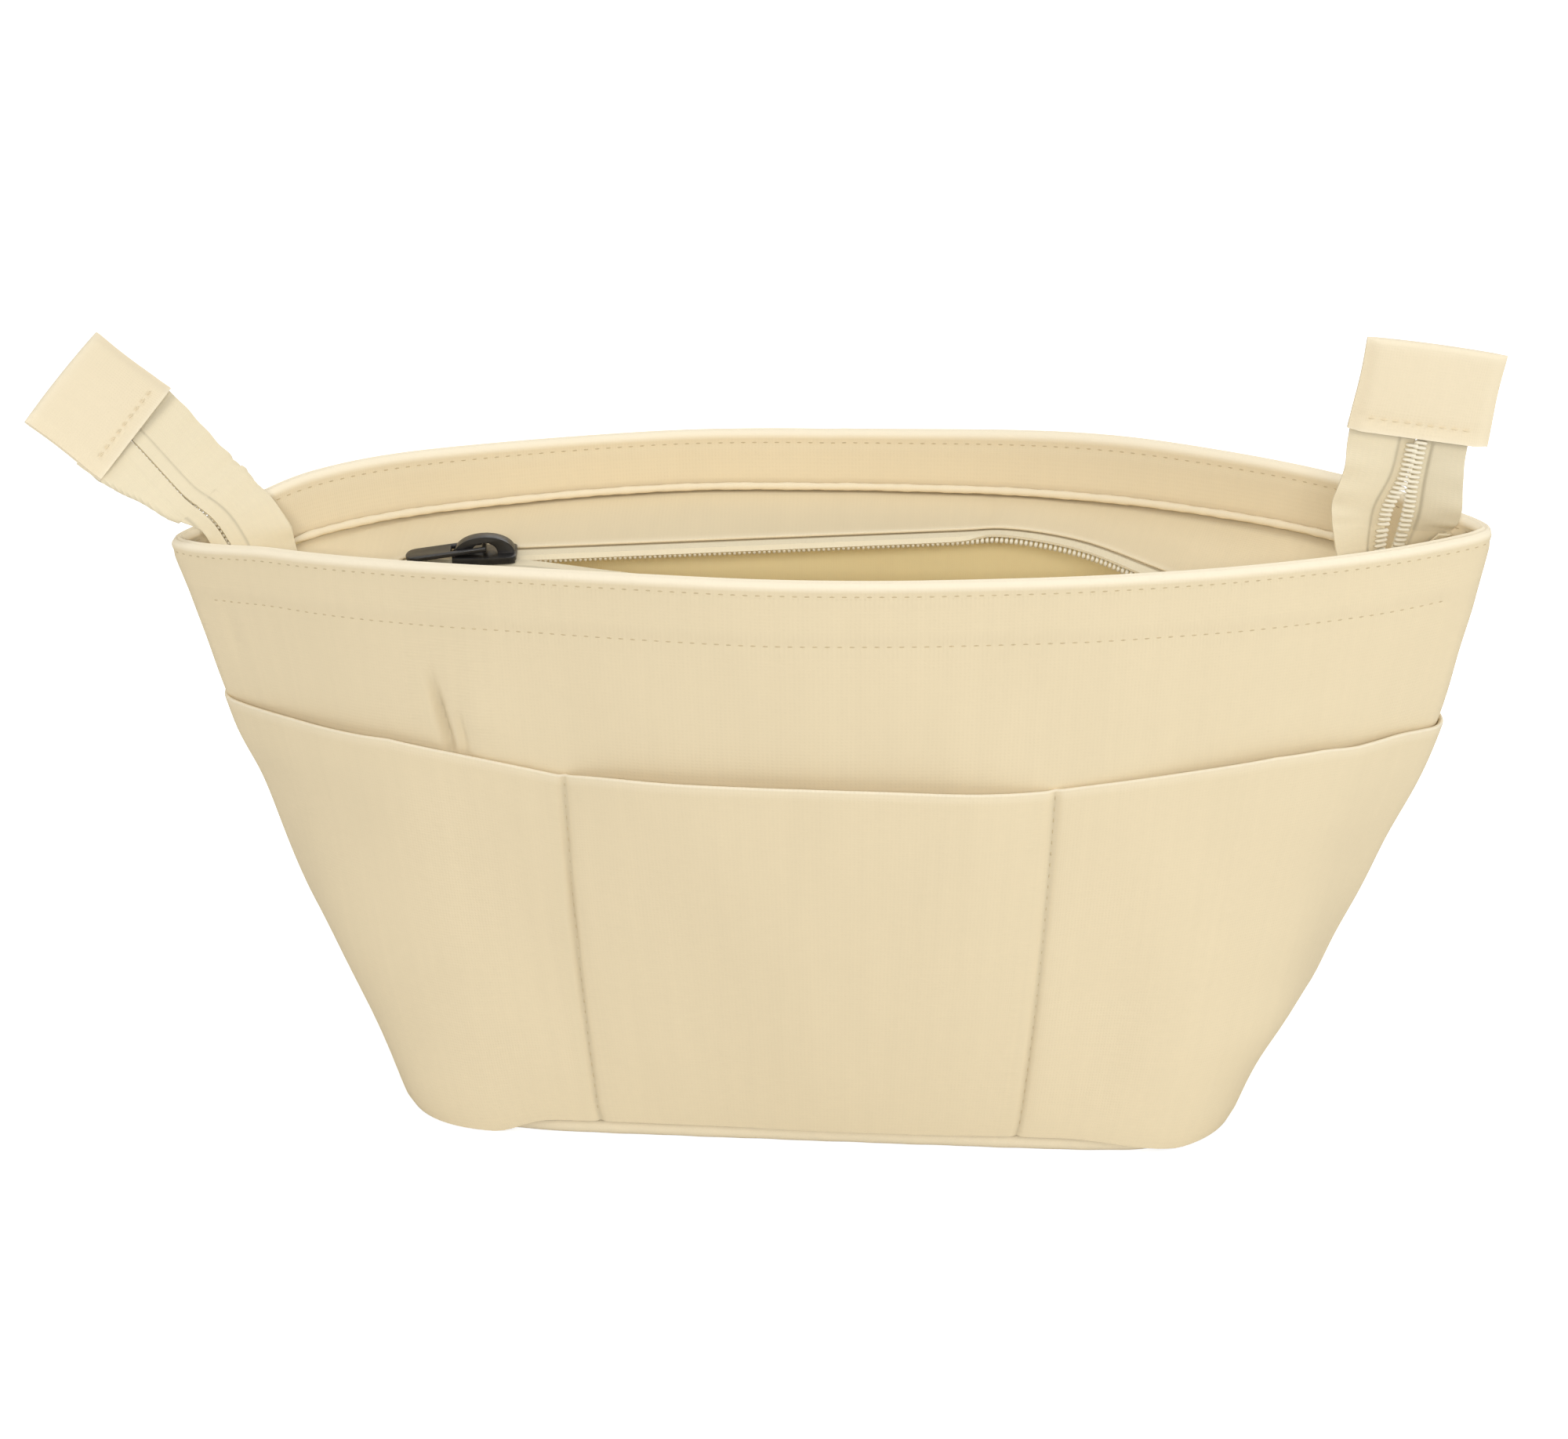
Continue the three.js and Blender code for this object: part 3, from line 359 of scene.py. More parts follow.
def wall_out(s, v, back=False):
    """Direction straight out of the wall's face."""
    step = 0.002
    along = wall_spot(s + step, v, back) - wall_spot(s - step, v, back)
    up = wall_spot(s, v + step, back) - wall_spot(s, v - step, back)
    return unit(np.cross(along, up))


def swells(v, rows):
    return sum(height * hollow(v - level, spread) for height, level, spread in rows)


def slack(s, v, back):
    """How far the soft wall strays from its cut: waves, straighter sides and drawn-out tips."""
    phase = 1.9 if back else 0.4
    t = np.clip(np.abs(s), 0, 1)
    held = np.sin(math.pi * np.clip(0.04 + 0.9 * v, 0, 1)) ** 0.8 * (1 - t**5)
    waves = sum(h * np.sin(along * s + up * v + n * phase) for h, along, up, n in WAVES)
    swell = np.where(s < 0, swells(v, LEFT_SWELLS), swells(v, RIGHT_SWELLS))
    straighter = smooth(0.5, 0.8, t) * swell
    tip = np.where(s < 0, 1.9, 1.0) * smooth(0.96, 1, t) * smooth(0.88, 1, v)
    return (held * waves + straighter + tip) * MM


def on_wall(s, v, out, back):
    """A spot on the soft wall, a distance out from its face. The back mirrors the front."""
    s, v, out = np.broadcast_arrays(np.asarray(s, float), v, out)
    out = out + slack(s, v, back)
    spot = wall_spot(s, v, back) + wall_out(s, v, back) * out[..., None]
    return spot * FRONT_TO_BACK if back else spot


def share_of_height(distance):
    return distance / body_sizes().wall_height


def seam_level():
    size = body_sizes()
    return share_of_height(size.wall_height - size.seam_depth)


def stations(reach, count, crowding=1.5):
    """Places on both sides of a middle, closer together towards the two ends."""
    half = np.linspace(-1, 1, 2 * count + 1)
    return np.sign(half) * (1 - (1 - np.abs(half)) ** crowding) * reach


def steps(start, stop, coarse, tight):
    """Row heights a coarse step apart, with fine rows either side of each tight place."""
    fine = 0.7 * MM
    reach = 2.8 * MM
    marks = [*np.arange(start, stop, coarse), stop]
    for place in tight:
        marks = [m for m in marks if abs(m - place) > reach]
        marks.extend(np.arange(place - reach, place + reach + fine / 2, fine))
    marks = np.clip(marks, start, stop)
    return np.unique(np.round(marks, 6))


def finer(places, middle, reach, step):
    """The places with close ones laid in round the middle."""
    kept = places[np.abs(places - middle) > reach]
    return np.sort(np.concatenate([kept, np.arange(middle - reach, middle + reach, step)]))


def run_length(line):
    """Length of a line of points."""
    return float(np.sum(np.linalg.norm(np.diff(line, axis=0), axis=1)))


def spots_of(piece):
    flat = np.empty(3 * len(piece.data.vertices), np.float32)
    piece.data.vertices.foreach_get("co", flat)
    return flat.reshape(-1, 3).astype(float)


def place_spots(piece, spots):
    piece.data.vertices.foreach_set("co", np.asarray(spots, np.float32).ravel())
    piece.data.update()


def pick(piece):
    bpy.ops.object.select_all(action="DESELECT")
    piece.select_set(True)
    bpy.context.view_layer.objects.active = piece


def lay_cloth(name, across, along, place, cut, wear_and_shading=None):
    """A grid of cloth laid by place(a, b). Its UV map is the cut size in metres."""
    bpy.ops.object.select_all(action="DESELECT")
    bpy.ops.mesh.primitive_grid_add(
        x_subdivisions=len(across) - 1, y_subdivisions=len(along) - 1, size=2
    )
    piece = bpy.context.object
    piece.name = name
    piece.data.name = name
    knots = spots_of(piece)
    if len(knots) != len(across) * len(along):
        raise RuntimeError(f"{name}: the grid has {len(knots)} knots")
    a = np.interp(knots[:, 0], np.linspace(-1, 1, len(across)), across)
    b = np.interp(knots[:, 1], np.linspace(-1, 1, len(along)), along)
    place_spots(piece, place(a, b))
    cloth_map = piece.data.uv_layers[0]
    flat = np.empty(2 * len(cloth_map.uv), np.float32)
    cloth_map.uv.foreach_get("vector", flat)
    flat = flat.reshape(-1, 2) * np.array(cut)
    cloth_map.uv.foreach_set("vector", flat.astype(np.float32).ravel())
    mark_wear_and_shading(piece, np.zeros(len(a)) if wear_and_shading is None else wear_and_shading(a, b))
    return piece


# Stores per knot how far the cloth is paled (rubbing and painted highlight) or darkened (painted
# shade).
def mark_wear_and_shading(piece, amount):
    layer = piece.data.attributes.new("wear_and_shading", "FLOAT", "POINT")
    layer.data.foreach_set("value", np.asarray(amount, np.float32))


def apply(piece, kind, **settings):
    pick(piece)
    bpy.ops.object.modifier_add(type=kind)
    modifier = piece.modifiers[-1]
    for setting, value in settings.items():
        setattr(modifier, setting, value)
    bpy.ops.object.modifier_apply(modifier=modifier.name)


def open_merged(piece):
    """Opens the piece in edit mode, all selected and its doubles merged."""
    pick(piece)
    bpy.ops.object.mode_set(mode="EDIT")
    bpy.ops.mesh.select_all(action="SELECT")
    bpy.ops.mesh.remove_doubles(threshold=MERGE_DISTANCE)


def close_tube(piece):
    """Merges the edges of a rolled grid, closes its ends and turns its faces outward."""
    open_merged(piece)
    bpy.ops.mesh.fill_holes(sides=0)
    bpy.ops.mesh.select_all(action="SELECT")
    bpy.ops.mesh.normals_make_consistent(inside=False)
    bpy.ops.object.mode_set(mode="OBJECT")


def soften(piece, degrees=40):
    pick(piece)
    bpy.ops.object.shade_smooth_by_angle(angle=math.radians(degrees))


def finish_piece(piece, finish, nodes, body="bag"):
    piece.data.materials.clear()
    piece.data.materials.append(finish)
    if body:
        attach(piece, body)
    if nodes:
        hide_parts(*nodes)


def sew_sheet(
    piece,
    cut,
    thickness,
    finish,
    slot,
    nodes,
    offset=-1,
    held="stretched",
    body="bag",
    rests_on="base_board",
):
    apply(piece, "SOLIDIFY", thickness=thickness, offset=offset, use_even_offset=False)
    soften(piece)
    finish_piece(piece, finish_named(finish), nodes, body)


def roll_piping(name, along, place, cut, paleness, node):
    """Piping rolled from a strip of bias canvas."""
    around = np.linspace(0, 2 * math.pi, ROLL_CORNERS)
    roll = lay_cloth(name, along, around, place, cut, paleness)
    close_tube(roll)
    soften(roll, 60)
    finish_piece(roll, finish_named("bias canvas"), [node])


class Finish:
    """A procedural material that is built node by node."""

    def __init__(self, name):
        self.material = bpy.data.materials.new(name)
        self.material.use_nodes = True
        self.nodes = self.material.node_tree.nodes
        self.links = self.material.node_tree.links
        self.shader = self.nodes["Principled BSDF"]
        self.coordinates = self.nodes.new("ShaderNodeTexCoord")

    def node(self, kind, inputs=None, **settings):
        made = self.nodes.new(kind)
        for setting, value in settings.items():
            setattr(made, setting, value)
        for socket, value in (inputs or {}).items():
            if isinstance(value, bpy.types.NodeSocket):
                self.links.new(value, made.inputs[socket])
            else:
                made.inputs[socket].default_value = value
        return made

    def noise(self, scale, detail=2.0, roughness=0.5):
        inputs = {
            "Vector": self.coordinates.outputs["Object"],
            "Scale": scale,
            "Detail": detail,
            "Roughness": roughness,
        }
        return self.node("ShaderNodeTexNoise", inputs).outputs["Fac"]

    def streaks(self, lean):
        """Long faint bands where some warp threads took the dye better than others."""
        drawn = self.node(
            "ShaderNodeMapping",
            {
                "Vector": self.coordinates.outputs["UV"],
                "Rotation": (0, 0, lean),
                "Scale": (1, 0.04, 1),
            },
        )
        inputs = {"Vector": drawn.outputs["Vector"], "Scale": 420.0, "Detail": 2.0}
        return self.node("ShaderNodeTexNoise", inputs).outputs["Fac"]

    def threads(self, pitch, direction, lean):
        """One set of threads a pitch apart, wandering a little."""
        turned = self.node(
            "ShaderNodeMapping",
            {"Vector": self.coordinates.outputs["UV"], "Rotation": (0, 0, lean)},
        )
        inputs = {
            "Vector": turned.outputs["Vector"],
            "Scale": 2 * math.pi / (WAVE_BANDS * pitch),
            "Distortion": 0.6,
            "Detail": 1.0,
            "Detail Scale": 0.6,
        }
        wave = self.node("ShaderNodeTexWave", inputs, bands_direction=direction)
        return wave.outputs["Fac"]

    def sums(self, operation, *terms, clamp=False):
        inputs = dict(enumerate(terms))
        return self.node("ShaderNodeMath", inputs, operation=operation, use_clamp=clamp).outputs[0]

    def span(self, value, low, high):
        inputs = {"Value": value, "To Min": low, "To Max": high}
        return self.node("ShaderNodeMapRange", inputs).outputs["Result"]

    def mixed(self, factor, first, second):
        """Two colours mixed: a mix node keeps its colours in sockets 6 and 7, its result in 2."""
        inputs = {0: factor, 6: first, 7: second}
        return self.node("ShaderNodeMix", inputs, data_type="RGBA").outputs[2]

    def feed(self, socket, value):
        self.links.new(value, self.shader.inputs[socket])

    def fix(self, values):
        for socket, value in values.items():
            self.shader.inputs[socket].default_value = value

    def bump(self, height, strength, distance):
        inputs = {"Height": height, "Strength": strength, "Distance": distance}
        made = self.node("ShaderNodeBump", inputs)
        self.feed("Normal", made.outputs["Normal"])


def toned(colour, share):
    return (colour[0] * share, colour[1] * share, colour[2] * share, 1)


def woven(name, colour, pitch, lean=0.0, depth=0.09 * MM, ribbed=False, rough=0.88, glow=0.0):
    """Woven cloth: warp, weft, slubs and fading; folds paled partly by rubbing and partly as
    painted highlight; painted shade darkening seams and creases; and a glow painted in where asked.
    """
    finish = Finish(name)
    warp = finish.threads(pitch, "X", lean)
    weft = finish.threads(pitch * (2.2 if ribbed else 1.0), "Y", lean)
    weave = finish.sums("MAXIMUM" if ribbed else "MULTIPLY", warp, weft)
    slubs = finish.noise(1400, 3, 0.6)
    streaked = finish.sums("MULTIPLY", finish.streaks(lean), 0.4)
    fading = finish.sums("MULTIPLY_ADD", finish.noise(22, 3, 0.55), 0.6, streaked)
    pale = finish.mixed(fading, toned(colour, 0.94), toned(colour, 1.05))
    grain = finish.sums("MULTIPLY", weave, slubs)
    threaded = finish.mixed(finish.span(grain, 0.0, 0.16), pale, toned(colour, 0.8))
    # The per-knot attribute read here: above 0 it pales the cloth towards the edge colour (rubbing
    # and painted highlight), below 0 it darkens the cloth as painted shade.
    wear_and_shading = finish.node("ShaderNodeAttribute", attribute_name="wear_and_shading").outputs["Fac"]
    painted_shade = finish.sums("MULTIPLY", wear_and_shading, -1.0, clamp=True)
    painted_shade_colour = finish.mixed(painted_shade, threaded, toned(colour, 0.66))
    finish.feed("Base Color", finish.mixed(wear_and_shading, painted_shade_colour, tuple(colours().wear_and_shading)))
    finish.feed("Roughness", finish.span(slubs, rough - 0.06, rough + 0.08))
    finish.fix({"Sheen Weight": 0.02, "Sheen Roughness": 0.5, "Specular IOR Level": 0.1})
    if glow:
        finish.fix({"Emission Color": tuple(colour), "Emission Strength": glow})
    finish.bump(grain, 0.55, depth)
    return finish.material


def nylon(name, colour):
    """Smooth drawn nylon with a faint waxy break-up."""
    finish = Finish(name)
    milky = finish.noise(900, 2)
    finish.feed("Base Color", finish.mixed(milky, toned(colour, 0.9), tuple(colour)))
    finish.feed("Roughness", finish.span(milky, 0.35, 0.55))
    finish.bump(milky, 0.2, 0.03 * MM)
    return finish.material


def spun(name, colour):
    """Twisted sewing thread."""
    finish = Finish(name)
    plies = finish.noise(2600, 2)
    finish.feed("Base Color", finish.mixed(plies, toned(colour, 0.82), toned(colour, 1.08)))
    finish.feed("Roughness", finish.span(plies, 0.6, 0.85))
    finish.bump(plies, 0.5, 0.05 * MM)
    return finish.material


def enamel(name):
    """Black enamel on cast metal, rubbed grey in places."""
    finish = Finish(name)
    rub = finish.noise(420, 4, 0.65)
    patches = finish.span(finish.sums("POWER", rub, 4.0), 0.0, 0.9)
    colour = colours()
    finish.feed("Base Color", finish.mixed(patches, tuple(colour.metal), tuple(colour.metal_worn)))
    finish.feed("Roughness", finish.span(rub, 0.28, 0.5))
    finish.fix({"Metallic": 0.1, "Coat Weight": 0.1})
    finish.bump(finish.noise(1500, 2), 0.15, 0.03 * MM)
    return finish.material


def finish_named(name):
    """The named finish, made on its first use."""
    made = bpy.data.materials.get(name)
    if made:
        return made
    colour = colours()
    bias = math.radians(45)
    lined = {"depth": 0.05 * MM, "glow": LINING_GLOW}
    ribbed = {"depth": 0.1 * MM, "ribbed": True, "rough": 0.8}
    makers = {
        "woven canvas": lambda: woven(name, colour.canvas, CANVAS_PITCH),
        "bias canvas": lambda: woven(name, colour.canvas, CANVAS_PITCH, bias),
        "lining cloth": lambda: woven(name, colour.lining, LINING_PITCH, **lined),
        "zip tape": lambda: woven(name, colour.tape, TAPE_PITCH, **ribbed),
        "nylon coil": lambda: nylon(name, colour.coil),
        "thread": lambda: spun(name, colour.thread),
        "pale thread": lambda: spun(name, colour.canvas),
        "black enamel": lambda: enamel(name),
    }
    return makers[name]()


def over_rim(run):
    """Height and depth of cloth that climbs the wall and rolls over half of the rim."""
    size = body_sizes()
    radius = size.wall / 2
    straight = size.wall_height - radius
    angle = np.clip((run - straight) / radius, 0, math.pi / 2)
    tuck = 0.45 * MM * smooth(1.15, 1.57, angle)
    height = np.minimum(run, straight) + radius * np.sin(angle) - tuck
    return height, radius * (1 - np.cos(angle))


def rim_top_run():
    size = body_sizes()
    return size.wall_height - size.wall / 2 + size.wall / 2 * math.pi / 2


def stitch_lines():
    size = body_sizes()
    return size.wall_height - size.top_stitch, size.wall_height - size.seam_depth


def pucker(height, s):
    """Cloth drawn in along the stitching and into the side seams."""
    top, low = stitch_lines()
    drawn = 0.22 * hollow(height - top, 1.1 * MM)
    drawn = drawn + 0.2 * hollow(height - low, 1.2 * MM) * (1 - smooth(0.9, 0.95, np.abs(s)))
    seam = (1 - np.abs(s)) * rim_half_length()
    return -(drawn + 0.35 * hollow(seam, 1.2 * MM)) * MM


def front_creases(s, v):
    """The pinched fold above the left pocket, and a faint upright crease near the left seam."""
    fade = smooth(0.66, 0.69, v) * (1 - smooth(0.74, 0.84, v))
    deep = hollow(s + 0.513 + 0.16 * (v - 0.7), 0.009)
    short = hollow(s + 0.487 + 0.1 * (v - 0.7), 0.007) * (1 - smooth(0.71, 0.75, v))
    puff = hollow(s + 0.455, 0.04) * hollow(v - 0.73, 0.07)
    faint = hollow(s + 0.9 - 0.1 * (v - 0.8), 0.012) * hollow(v - 0.83, 0.06)
    return (-2.3 * deep * fade - 1.3 * short * fade + 1.5 * puff - 0.6 * faint) * MM


class SewWalls(bpy.types.Operator):
    """Sew the outer walls, rolled over at the rim, with their facings and linings"""

    bl_idname = "organizer.sew_walls"
    bl_label = "Walls, facings and linings"

    def execute(self, context):
        size = body_sizes()
        wide = 2 * rim_half_length()
        rim = size.wall_height
        lip = rim - 1 * MM
        top_run = rim_top_run()
        top, seam = stitch_lines()
        plain = stations(0.9995, 84)
        creased = finer(plain, -0.5, 0.07, 0.003)
        for side, back in SIDES:
            across = plain if back else creased
            outward = across[::-1] if back else across
            inward = outward[::-1]

            def skin_at(s, run):
                height, depth = over_rim(run)
                v = share_of_height(height)
                out = pucker(height, s) - depth
                if not back:
                    out = out + front_creases(s, v)
                return on_wall(s, v, out, back)

            def rim_wear_and_shading(s, run):
                # Paler over the rounded rim, partly rubbing and partly painted highlight.
                rubbed = smooth(rim - 2.6 * MM, rim - 0.6 * MM, run)
                if back:
                    return rubbed
                height = over_rim(run)[0]
                # On the front, painted shade darkens the pinched crease above the left pocket.
                pinch = np.maximum(-front_creases(s, share_of_height(height)) / MM - 0.5, 0)
                return rubbed - 0.3 * pinch

            def facing_wear_and_shading(s, run):
                # The facing is paler all over and along the rim, and painted shade darkens it
                # inside the tight tips.
                shaded = smooth(0.94, 0.985, np.abs(s)) * (run < rim - 2 * MM)
                return 0.2 + 0.8 * rim_wear_and_shading(s, run) - shaded

            runs = steps(0, top_run, 3.2 * MM, [top, seam, lip])
            cut = (wide, top_run)
            skin = lay_cloth(f"{side}_wall_cloth", outward, runs, skin_at, cut, rim_wear_and_shading)
            nodes = [f"{side}_wall_skin", f"{side}_wall_core"]
            sew_sheet(skin, cut, size.skin, "woven canvas", "canvas", nodes)

            def facing_at(s, run):
                height, depth = over_rim(run)
                tuck = 1 - smooth(0, 2 * MM, height - seam)
                inner = depth - size.wall - pucker(height, s) + tuck * 0.4 * MM
                return on_wall(s, share_of_height(height), inner, back)

            runs = steps(seam, top_run, 1.6 * MM, [top, lip])
            cut = (wide, top_run - seam)
            facing = lay_cloth(f"{side}_facing_cloth", inward, runs, facing_at, cut, facing_wear_and_shading)
            sew_sheet(facing, cut, size.skin, "woven canvas", "canvas", [f"{side}_rim_facing"])

            def lining_at(s, v):
                loose = 0.35 * MM * (1 + np.sin(17 * s + 7 * v)) * np.sin(math.pi * v)
                return on_wall(s, v, -size.lining_depth - size.lining - loose, back)

            levels = np.linspace(share_of_height(3 * MM), seam_level(), 40)
            cut = (wide, seam)
            lining = lay_cloth(f"{side}_lining_cloth", inward, levels, lining_at, cut)
            nodes = [f"{side}_wall_lining"]
            sew_sheet(lining, cut, size.lining, "lining cloth", "lining", nodes)
        return {"FINISHED"}


class RollSeamPiping(bpy.types.Operator):
    """Roll the piping that lies in the zip seam under each facing"""

    bl_idname = "organizer.roll_seam_piping"
    bl_label = "Seam piping"

    def execute(self, context):
        size = body_sizes()
        radius = size.seam_roll / 2
        reach = 0.84
        places = stations(reach, 150)
        cut = (2 * reach * rim_half_length(), 2 * math.pi * radius)

        def roll_pale_and_highlit(s, angle):
            # Paler all round, and palest on top as a painted highlight.
            return 0.4 + 0.25 * np.sin(angle)

        for side, back in SIDES:

            def roll_at(s, angle):
                plump = radius * (1 + 0.06 * np.sin(210 * s) + 0.05 * np.sin(77 * s + 1))
                plump = plump * (1 - 0.6 * smooth(reach - 0.03, reach, np.abs(s)))
                depth = size.wall + 0.3 * MM + radius + plump * np.cos(angle)
                height = 0.9 * MM + plump * np.sin(angle)
                return on_wall(s, seam_level() + share_of_height(height), -depth, back)

            node = f"{side}_seam_piping"
            roll_piping(f"{side}_seam_roll", places, roll_at, cut, roll_pale_and_highlit, node)
        return {"FINISHED"}


def divider_share():
    return body_sizes().pocket_divider / rim_half_length()


def pocket_edge(s):
    """Height of the pocket edge, which dips at the dividers and lifts towards the sides."""
    size = body_sizes()
    divider = divider_share()
    t = np.abs(s)
    dip = np.where(s < 0, size.pocket_dip_left, size.pocket_dip_right)
    lift = np.where(s < 0, size.pocket_lift_left, size.pocket_lift_right)
    sagging = np.minimum(t / divider, 1) ** np.where(s < 0, 5, 1.4)
    climbing = np.clip((t - divider) / (np.where(s < 0, 0.6, 0.66) - divider), 0, 1)
    droop = (1.0 * smooth(0.73, 0.8, s) + 2.4 * smooth(0.86, 1, s)) * MM
    return size.pocket_height - dip * sagging + (dip + lift) * climbing - droop


def divider_place(right, rise):
    """Where a divider seam lies at the rise: both lean a little off the straight cut."""
    if right:
        return divider_share() + 0.014 - 0.005 * rise
    return -divider_share() - 0.012 + 0.0196 * rise


def off_divider(s, rise):
    """Distance along the wall from the nearer divider seam."""
    seam = np.where(s < 0, divider_place(False, rise), divider_place(True, rise))
    return (s - seam) * rim_half_length()


def pocket_stand(s, rise):
    """How far the pocket stands off the wall: held at the dividers and the side seams."""
    size = body_sizes()
    divider = divider_share()
    t = np.abs(s)
    middle = t < divider
    share = np.where(middle, t / divider, (t - divider) / (1 - divider))
    bow = np.where(
        middle,
        size.pocket_gape * (1 - np.clip(share, 0, 1) ** 4),
        size.pocket_side_gape * np.sin(np.clip(share, 0, 1) * math.pi) ** 2,
    )
    return bow * np.clip(rise, 0, 1) ** 1.3


def roll_share(s):
    """How much of the foot roll shows: all of it along the middle, little at the corners."""
    return 1 - ROLL_HIDDEN * (smooth(0.43, 0.56, -s) + smooth(0.42, 0.69, s))


def pocket_foot(s):
    """Height of the pocket's lower edge above the wall's: just over the roll that shows."""
    size = body_sizes()
    hidden = (1 - roll_share(s)) / ROLL_HIDDEN
    above = (size.base_roll_height + 2 * MM) * roll_share(s) - 0.6 * MM + 1.0 * MM * hidden
    return above - size.wall_foot


def pocket_level(s, rise):
    """Height on the pocket at a rise from its foot (0) to its edge (1)."""
    return pocket_foot(s) + (pocket_edge(s) - pocket_foot(s)) * rise


def pocket_face(s, rise):
    """Outer face of the pocket cloth above the wall. It hangs straight over the tucked foot."""
    size = body_sizes()
    height = pocket_level(s, rise)
    hang = size.foot_tuck * np.maximum(0, 1 - np.maximum(height, 0) / size.foot_round) ** 2
    drawn = hollow(off_divider(s, rise), 1.1 * MM)
    easy = 0.25 * (1 + np.sin(23 * s + 4 * rise)) * np.sin(math.pi * np.clip(rise, 0, 1))
    corner = np.where(s < 0, 1.2, 0.2) * hollow(np.abs(s) - 0.675, 0.085)
    corner = corner * (1 - smooth(2 * MM, 24 * MM, height))
    sewn = 1 - 0.75 * smooth(0.93, 1, -s)
    level = (0.3 * MM + 2 * size.pocket_fold) * sewn + hang
    shape = easy * (1 - drawn) - 0.65 * drawn + corner
    return level + pocket_stand(s, rise) + shape * MM


def hemmed_rows(flat, bend, hem):
    """Steps over cloth with a folded edge: 1 up the flat, half a turn round, 1 down the hem."""
    climb = np.linspace(0, 1, flat)
    around = 1 + np.linspace(0, math.pi, bend)[1:]
    tucked = 1 + math.pi + np.linspace(0, 1, hem)[1:]
    return np.concatenate([climb, around, tucked])


def hem_parts(step):
    """How far a step has come up the flat, round the fold and down the hem."""
    return np.clip(step, 0, 1), np.clip(step - 1, 0, math.pi), np.clip(step - 1 - math.pi, 0, 1)


class SewPockets(bpy.types.Operator):
    """Sew the outer pocket bands with their folded upper edge"""

    bl_idname = "organizer.sew_pockets"
    bl_label = "Pocket bands"

    def execute(self, context):
        size = body_sizes()
        fine = 0.8 * MM / rim_half_length()
        near = 4.8 * MM / rim_half_length()
        across = stations(0.999, 70)
        for divider in (-divider_share(), divider_share()):
            across = finer(across, divider, near, fine)
        fold = size.pocket_fold
        hem = 9 * MM
        along = hemmed_rows(44, 9, 7)
        cut = (2 * rim_half_length(), size.pocket_height + size.pocket_lift_left + hem)

        def band_wear_and_shading(s, step):
            # Paler along the folded edge, partly rubbing and partly painted highlight; painted
            # shade darkens the divider seams.
            edge = hollow(step - 1 - math.pi / 3, 0.9) * (step > 0.98)
            seam = hollow(off_divider(s, np.clip(step, 0, 1)), 0.8 * MM) * (step < 1)
            return edge - 0.5 * seam

        for side, back in SIDES:

            def band_at(s, step):
                share, angle, inside = hem_parts(step)
                foot = pocket_foot(s)
                edge = pocket_edge(s) - fold
                height = foot + (edge - foot) * share + fold * np.sin(angle) - hem * inside
                rise = (height - foot) / (edge - foot)
                out = pocket_face(s, rise) - fold * (1 - np.cos(angle))
                spot = on_wall(s, share_of_height(height), out, back)
                spot[..., 2] = np.maximum(spot[..., 2], FLOOR_CLEARANCE)
                return spot

            order = across[::-1] if back else across
            band = lay_cloth(f"{side}_pocket_cloth", order, along, band_at, cut, band_wear_and_shading)
            sew_sheet(band, cut, fold * 0.9, "woven canvas", "canvas", [f"{side}_pocket_band"])
        return {"FINISHED"}


def base_half_depth(x, inset):
    size = body_sizes()
    corner = size.base_corner - inset
    arm = size.base_length / 2 - size.base_corner
    past = np.clip(np.abs(x) - arm, 0, corner)
    return size.base_depth / 2 - size.base_corner + np.sqrt(np.maximum(corner**2 - past**2, 0))


